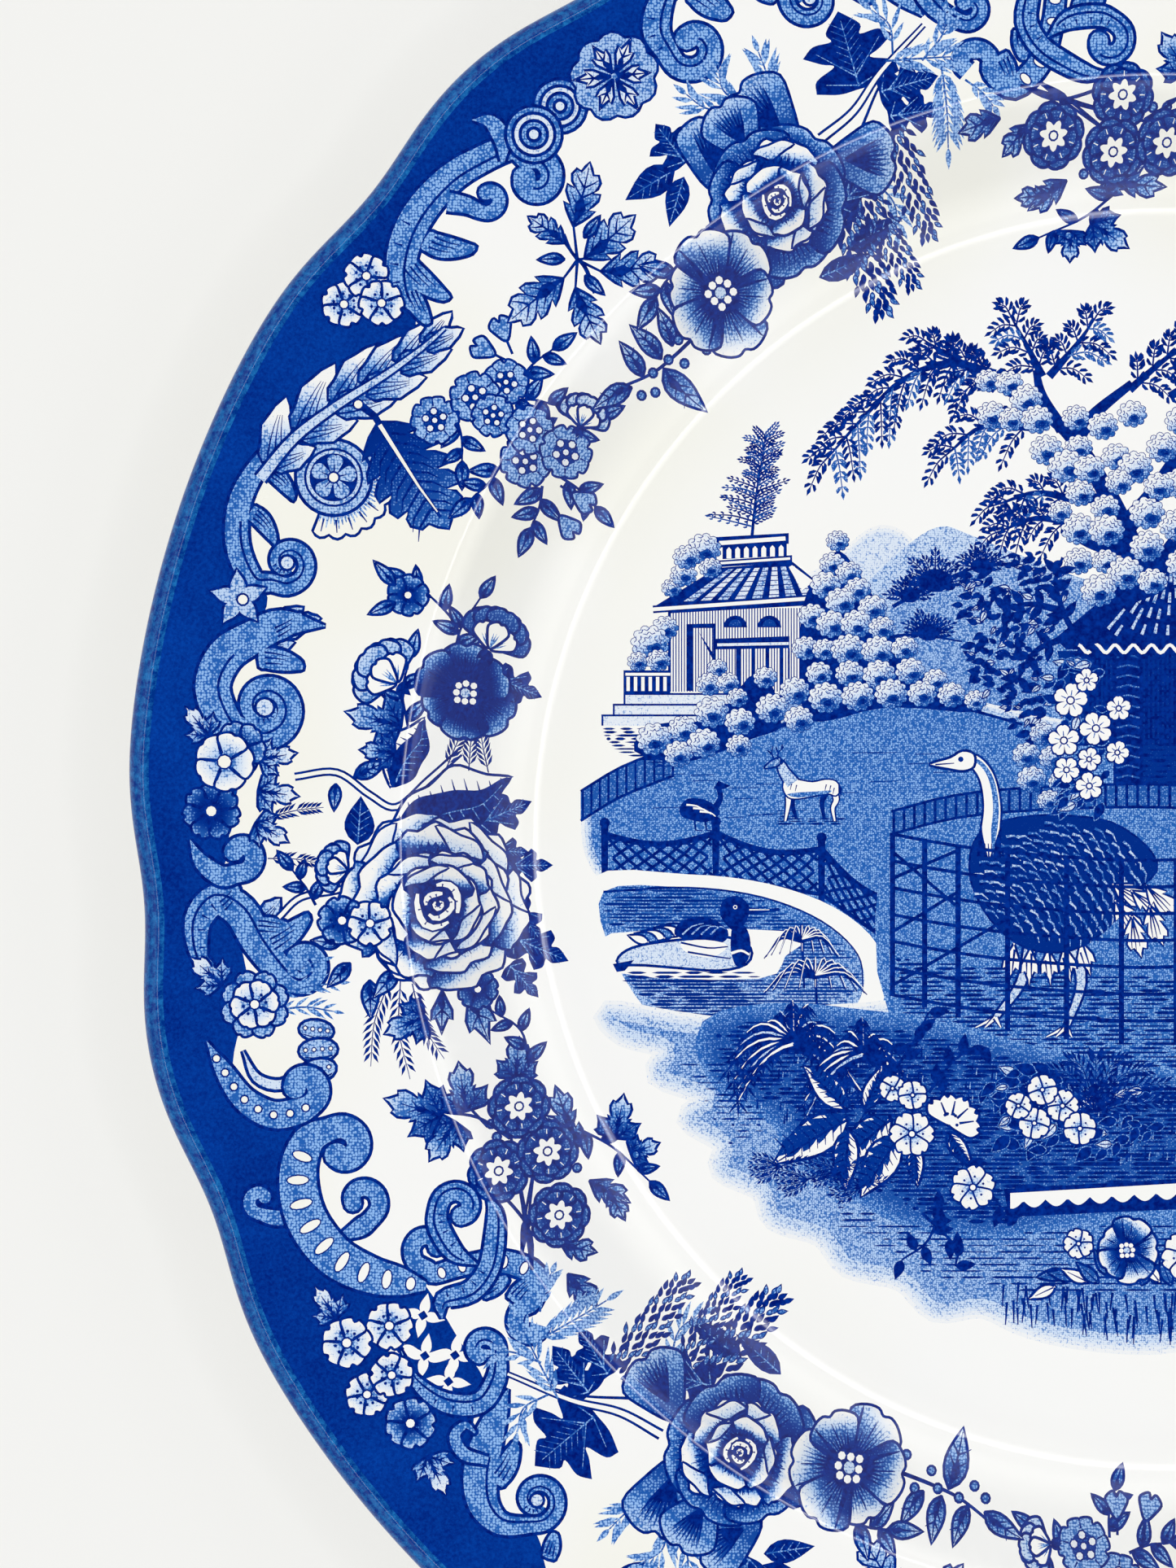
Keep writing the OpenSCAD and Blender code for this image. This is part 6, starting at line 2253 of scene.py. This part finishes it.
def china_material():
    m = glazed("white_china", CHINA_SHINE)
    split = m.new("ShaderNodeSeparateXYZ")
    m.link(m.place, split.inputs[0])
    x, y = split.outputs[0], split.outputs[1]
    r = m.math("POWER", m.math("ADD", m.math("MULTIPLY", x, x), m.math("MULTIPLY", y, y)), 0.5)
    rise = m.span(r, (FLOOR_R + 1) * MM, (FLOOR_R + 10) * MM, smooth=True)
    fall = m.span(r, WALL_END * MM, SHOULDER_X * MM, 1.0, 0.0, smooth=True)
    cloud = m.span(m.noise(70, 2.0), 0.42, 0.62, smooth=True)
    # painted light: whiter on the curve from the floor and on the wall, to offset their shade
    white = m.mix(m.math("MULTIPLY", rise, fall), CHINA, COVE_PAINTED_LIGHT)
    pooled = m.span(r, (FLOOR_R - 10) * MM, (FLOOR_R + 8) * MM, 0.1, 0.55)
    m.set(Base_Color=m.mix(m.math("MULTIPLY", cloud, pooled), white, CREAM))
    return m.mat


def band_material(name="cobalt_band", streaks=False):
    m = glazed(name, LIP_SHINE if streaks else BAND_SHINE)
    grain = m.span(m.noise(0.55, 3.0, 0.7), 0.36, 0.66)
    cloud = m.span(m.noise(16, 3.0, 0.6), 0.35, 0.66)
    share = m.math("ADD", m.math("MULTIPLY", grain, 0.62), m.math("MULTIPLY", cloud, 0.38))
    color = m.mix(share, srgb(0, 33, 124), srgb(4, 66, 166))
    if streaks:
        fine = m.span(m.noise(1.1, 4.0, 0.8), 0.4, 0.66)
        color = m.mix(m.math("MULTIPLY", fine, 0.85), srgb(0, 48, 134), srgb(34, 122, 192))
    m.set(Base_Color=color)
    return m.mat


def line_material():
    m = glazed("cobalt_line", INK_SHINE)
    grain = m.span(m.noise(0.8, 2.0, 0.6), 0.34, 0.68)
    m.set(Base_Color=m.mix(grain, srgb(0, 22, 112), srgb(2, 50, 150)))
    return m.mat


def tone_ramp(m, tone, *stops):
    """A colour that follows the tone of the print, (tone, colour) each."""
    n = m.new("ShaderNodeValToRGB")
    ramp = n.color_ramp
    while len(ramp.elements) < len(stops):
        ramp.elements.new(0.5)
    for element, (place, color) in zip(ramp.elements, stops):
        element.position, element.color = place, color
    m.link(tone, n.inputs[0])
    return n.outputs[0]


def stipple_material(name, pitch):
    """Engraver's dots: pale specks on blue where the tone is dark, blue specks on white where it is light."""
    m = glazed(name, INK_SHINE)
    tone = m.new("ShaderNodeAttribute", attribute_name="tone").outputs["Fac"]
    specks = m.spots(pitch, 0.55)
    edge = m.span(tone, 0.0, 1.0, 0.86, 0.08)
    ink = m.span(m.math("SUBTRACT", specks, edge), -0.14, 0.14, smooth=True)
    pale = tone_ramp(m, tone, (0.02, CHINA), (0.3, srgb(206, 224, 247)), (0.5, srgb(146, 188, 240)),
                     (0.8, srgb(62, 118, 200)), (1.0, srgb(26, 80, 170)))
    deep = tone_ramp(m, tone, (0.05, srgb(120, 162, 222)), (0.3, srgb(72, 124, 196)),
                     (0.5, srgb(38, 98, 182)), (0.8, srgb(2, 52, 146)), (1.0, srgb(0, 36, 128)))
    m.set(Base_Color=m.mix(ink, pale, deep))
    return m.mat


def biscuit_material():
    m = Nodes("bare_foot")
    speck = m.span(m.spots(1.4), 0.0, 0.25)
    wear = m.span(m.noise(9, 3.0), 0.35, 0.7)
    m.set(Base_Color=m.mix(m.math("MULTIPLY", speck, wear), srgb(186, 176, 158), srgb(226, 221, 208)),
          Roughness=0.85)
    m.bump(m.noise(0.5, 3.0, 0.7), 0.5, 0.06)
    return m.mat


# ---------------------------------------------------------------- the platter's pieces
BORDER_SHARES, SCENE_SHARES = 3, 4    # a large print is cut into shares, so that no piece is too heavy
LIP_LOW = -35                         # how far round the lip its blue reaches, in degrees
FOOT_R = 84.0
# (distance from the middle of the foot ring, height) down its glazed flank, and on round its bare tip
FOOT_FLANK = ((3.0, RECESS_Z), (2.6, RECESS_Z - 0.12), (2.42, 1.6), (2.28, 0.7))
FOOT_TIP = ((2.28, 0.7), (2.2, 0.32), (1.95, 0.1), (1.4, 0.0), (0.6, 0.0))
MARK_R, MARK_WIDE, MARK_PETALS = 14.0, 1.5, 8


def build_face(materials):
    """The glazed face, cut by ink into pieces that fit together, the large prints in several shares."""
    draw_border()
    draw_scene()
    v, f, mid = cut_sheet(SHEET)
    found = top_shapes(SHEET, mid)
    inks = np.array([s[0] for s in SHEET] + [WHITE])[found]
    centre = np.hypot(mid[:, 0], mid[:, 1]) < FLOOR_R - 1
    turn = np.degrees(np.arctan2(mid[:, 1], mid[:, 0])) % 360
    tones = tones_of(SHEET, np.maximum(found, 0), v[f])
    out = {}
    for name, pick, shares, material in (
        ("china_face", inks == WHITE, 1, "china"),
        ("rim_band", inks == BAND, 1, "band"),
        ("border_outline", (inks == LINE) & ~centre, BORDER_SHARES, "line"),
        ("border_stipple", (inks == DOTS) & ~centre, BORDER_SHARES, "border_dots"),
        ("scene_outline", (inks == LINE) & centre, SCENE_SHARES, "line"),
        ("scene_stipple", (inks == DOTS) & centre, SCENE_SHARES, "scene_dots"),
    ):
        for k in range(shares):
            part = pick & (turn * shares // 360 == k)
            piece = f"{name}_{k + 1}" if shares > 1 else name
            tone = tones[part] if "stipple" in name else None
            out[piece] = face_piece(piece, v, f[part], materials[material], tone)
    return out


def lip_rings(angles):
    """Rings of points round the rolled edge, one for each angle above level, and their normals."""
    a = np.radians(np.arange(RIM_N) * 360 / RIM_N)
    r, z = lip_centre(np.degrees(a))
    rings, normals_out = [], []
    for t in angles:
        out, up = math.cos(rad(t)), math.sin(rad(t))
        rings.append(np.c_[(r + LIP_R * out) * np.cos(a), (r + LIP_R * out) * np.sin(a), z + LIP_R * up])
        normals_out.append(np.c_[out * np.cos(a), out * np.sin(a), np.full(RIM_N, up)])
    return rings, np.concatenate(normals_out)


def build_lip(material):
    rings, normal = lip_rings(np.linspace(LIP_LOW, 90 + math.degrees(SLOPE), 15))
    return add_surface("rim_lip", material, ring_band(rings), normal=normal)


def build_back(material):
    """The glazed back, from under the lip to the foot ring."""
    steep = math.degrees(WALL)
    under = lip_rings(np.linspace(LIP_LOW, math.degrees(SLOPE) - 90, 6))[0]
    rim = [(r, RIM_Z - THICK / math.cos(SLOPE) + (r - RIM_X) * math.tan(SLOPE)) for r in (143, 134, 125, 118)]
    shoulder = arc_points(SHOULDER_X, SHOULDER_Z, SHOULDER_R - THICK, 90 + math.degrees(SLOPE), steep + 90, 6)
    cove = arc_points(FLOOR_R, COVE_Z, COVE_R + THICK, steep - 90, -90, 12)
    foot = [(FOOT_R + x, z) for x, z in FOOT_FLANK]
    rings = under + lathe(rim + shoulder + cove + foot, RIM_N)
    return add_surface("china_back", material, ring_band(rings[::-1]))


def build_foot(material):
    """The unglazed rest of the foot ring."""
    outer = [(FOOT_R + x, z) for x, z in FOOT_TIP]
    inner = [(FOOT_R - x, z) for x, z in FOOT_TIP[::-1]]
    return add_surface("foot_ring", material, ring_band(lathe(outer + inner)[::-1]))


def build_base(china, mark):
    """The glazed recess inside the foot ring, and the printed mark in its middle."""
    flank = [(FOOT_R - x, z) for x, z in FOOT_FLANK[::-1]]
    outer = lathe(flank + [(r, RECESS_Z) for r in (60, 36, MARK_R)])
    inner = lathe([(MARK_R - MARK_WIDE, RECESS_Z)])[0]
    a = np.radians(np.arange(TURNED_N) * 360 / TURNED_N)
    petals_r = MARK_R / 2 - 0.5 + 0.5 * np.cos(MARK_PETALS * a)
    flower = np.c_[petals_r * np.cos(a), petals_r * np.sin(a), np.full(TURNED_N, RECESS_Z)]
    recess = add_surface("china_recess", china, ring_band(outer[::-1]), ring_band([flower, inner]))
    stamp = add_surface("base_mark", mark, ring_band([inner, outer[-1]]), disc_under(flower))
    return recess, stamp


def build_platter():
    materials = {"china": china_material(), "band": band_material(), "line": line_material(),
                 "border_dots": stipple_material("border_stipple", BORDER_DOT),
                 "scene_dots": stipple_material("scene_stipple", SCENE_DOT)}
    pieces = build_face(materials)
    pieces["rim_lip"] = build_lip(band_material("cobalt_lip", True))
    pieces["china_back"] = build_back(materials["china"])
    pieces["foot_ring"] = build_foot(biscuit_material())
    pieces["china_recess"], pieces["base_mark"] = build_base(materials["china"], materials["line"])
    return pieces


platter = build_platter()
STANDS_FOR = {
    "china_face": ("glaze", "clear_glaze"),
    "china_back": ("glaze", "clear_glaze"),
    "china_recess": ("recess_glaze", "clear_glaze"),
    "foot_ring": ("body", "fired_body"),
    "rim_band": ("rim_band_print", "cobalt_band"),
    "rim_lip": ("rim_band_print", "cobalt_band"),
    "border_outline": ("border_print", "cobalt_border"),
    "border_stipple": ("border_print", "cobalt_border"),
    "scene_outline": ("scene_print", "cobalt_scene"),
    "scene_stipple": ("scene_print", "cobalt_scene"),
    "base_mark": ("base_mark_print", "cobalt_mark"),
}
for piece, ob in platter.items():
    node, material_slot = STANDS_FOR[piece.rstrip("_1234")]
    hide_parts(node)

# ---------------------------------------------------------------- floor, light and camera
VIEW_X, VIEW_Y = -84.9, 8.1           # middle of the picture on the platter
VIEW_H, CAMERA_UP = 228.6, 650.0      # height of the picture at the rim, and of the camera over it
RIM_UP = 24.0
SENSOR_W = 36.0
FLOOR_HALF = 3.0                      # half the floor's side, in metres
FLOOR_GLOW = 0.5                      # a light table, which keeps the shadow as faint as the photograph's
WORLD_STRENGTH = 4.78
HORIZON, ZENITH = 0.06, 0.002         # brightness level with the floor, and straight overhead
# (height of the direction, brightness) in between: a wide soft zone and two thin bright rings
WORLD_RINGS = ((0.35, 0.10), (0.45, 0.18), (0.6, 0.2), (0.64, 0.3), (0.745, 0.3), (0.785, 0.06),
               (0.868, 0.06), (0.874, 1.7), (0.892, 1.7), (0.896, 0.1), (0.9, 0.9), (0.906, 0.9),
               (0.912, 0.01))


def add_floor():
    m = Nodes("pale_floor")
    color = m.mix(m.noise(180, 2.0), srgb(168, 168, 168), srgb(165, 165, 162))
    m.set(Base_Color=color, Roughness=0.8, Specular_IOR_Level=0.1, Emission_Color=srgb(255, 255, 252),
          Emission_Strength=FLOOR_GLOW)
    mesh = bpy.data.meshes.new("floor")
    s = FLOOR_HALF
    mesh.from_pydata([(-s, -s, 0), (s, -s, 0), (s, s, 0), (-s, s, 0)], [], [(0, 1, 2, 3)])
    mesh.materials.append(m.mat)
    ob = bpy.data.objects.new("floor", mesh)
    bpy.context.scene.collection.objects.link(ob)


def add_world():
    """A soft tent of light: dim overhead, with a bright ring that shows as thin lines on the curves."""
    world = bpy.data.worlds.new("studio")
    bpy.context.scene.world = world
    world.use_nodes = True
    t = world.node_tree
    back = t.nodes["Background"]
    where = t.nodes.new("ShaderNodeTexCoord")
    split = t.nodes.new("ShaderNodeSeparateXYZ")
    ramp = t.nodes.new("ShaderNodeValToRGB")
    t.links.new(where.outputs["Generated"], split.inputs[0])
    t.links.new(split.outputs["Z"], ramp.inputs[0])
    t.links.new(ramp.outputs["Color"], back.inputs["Color"])
    back.inputs["Strength"].default_value = WORLD_STRENGTH
    r = ramp.color_ramp
    r.elements[0].position, r.elements[0].color = 0.0, (HORIZON, HORIZON, HORIZON, 1)
    r.elements[1].position, r.elements[1].color = 1.0, (ZENITH, ZENITH, ZENITH, 1)
    for z, k in WORLD_RINGS:
        r.elements.new(z).color = (k, k, k, 1)


def add_camera():
    data = bpy.data.cameras.new("camera")
    data.sensor_width = SENSOR_W
    data.lens = SENSOR_W * CAMERA_UP / VIEW_H
    data.clip_start, data.clip_end = 0.01, 10
    ob = bpy.data.objects.new("camera", data)
    ob.location = (VIEW_X * MM, VIEW_Y * MM, (RIM_UP + CAMERA_UP) * MM)
    bpy.context.scene.collection.objects.link(ob)
    bpy.context.scene.camera = ob


add_floor()
add_world()
add_camera()
bpy.context.scene.view_settings.view_transform = "Standard"
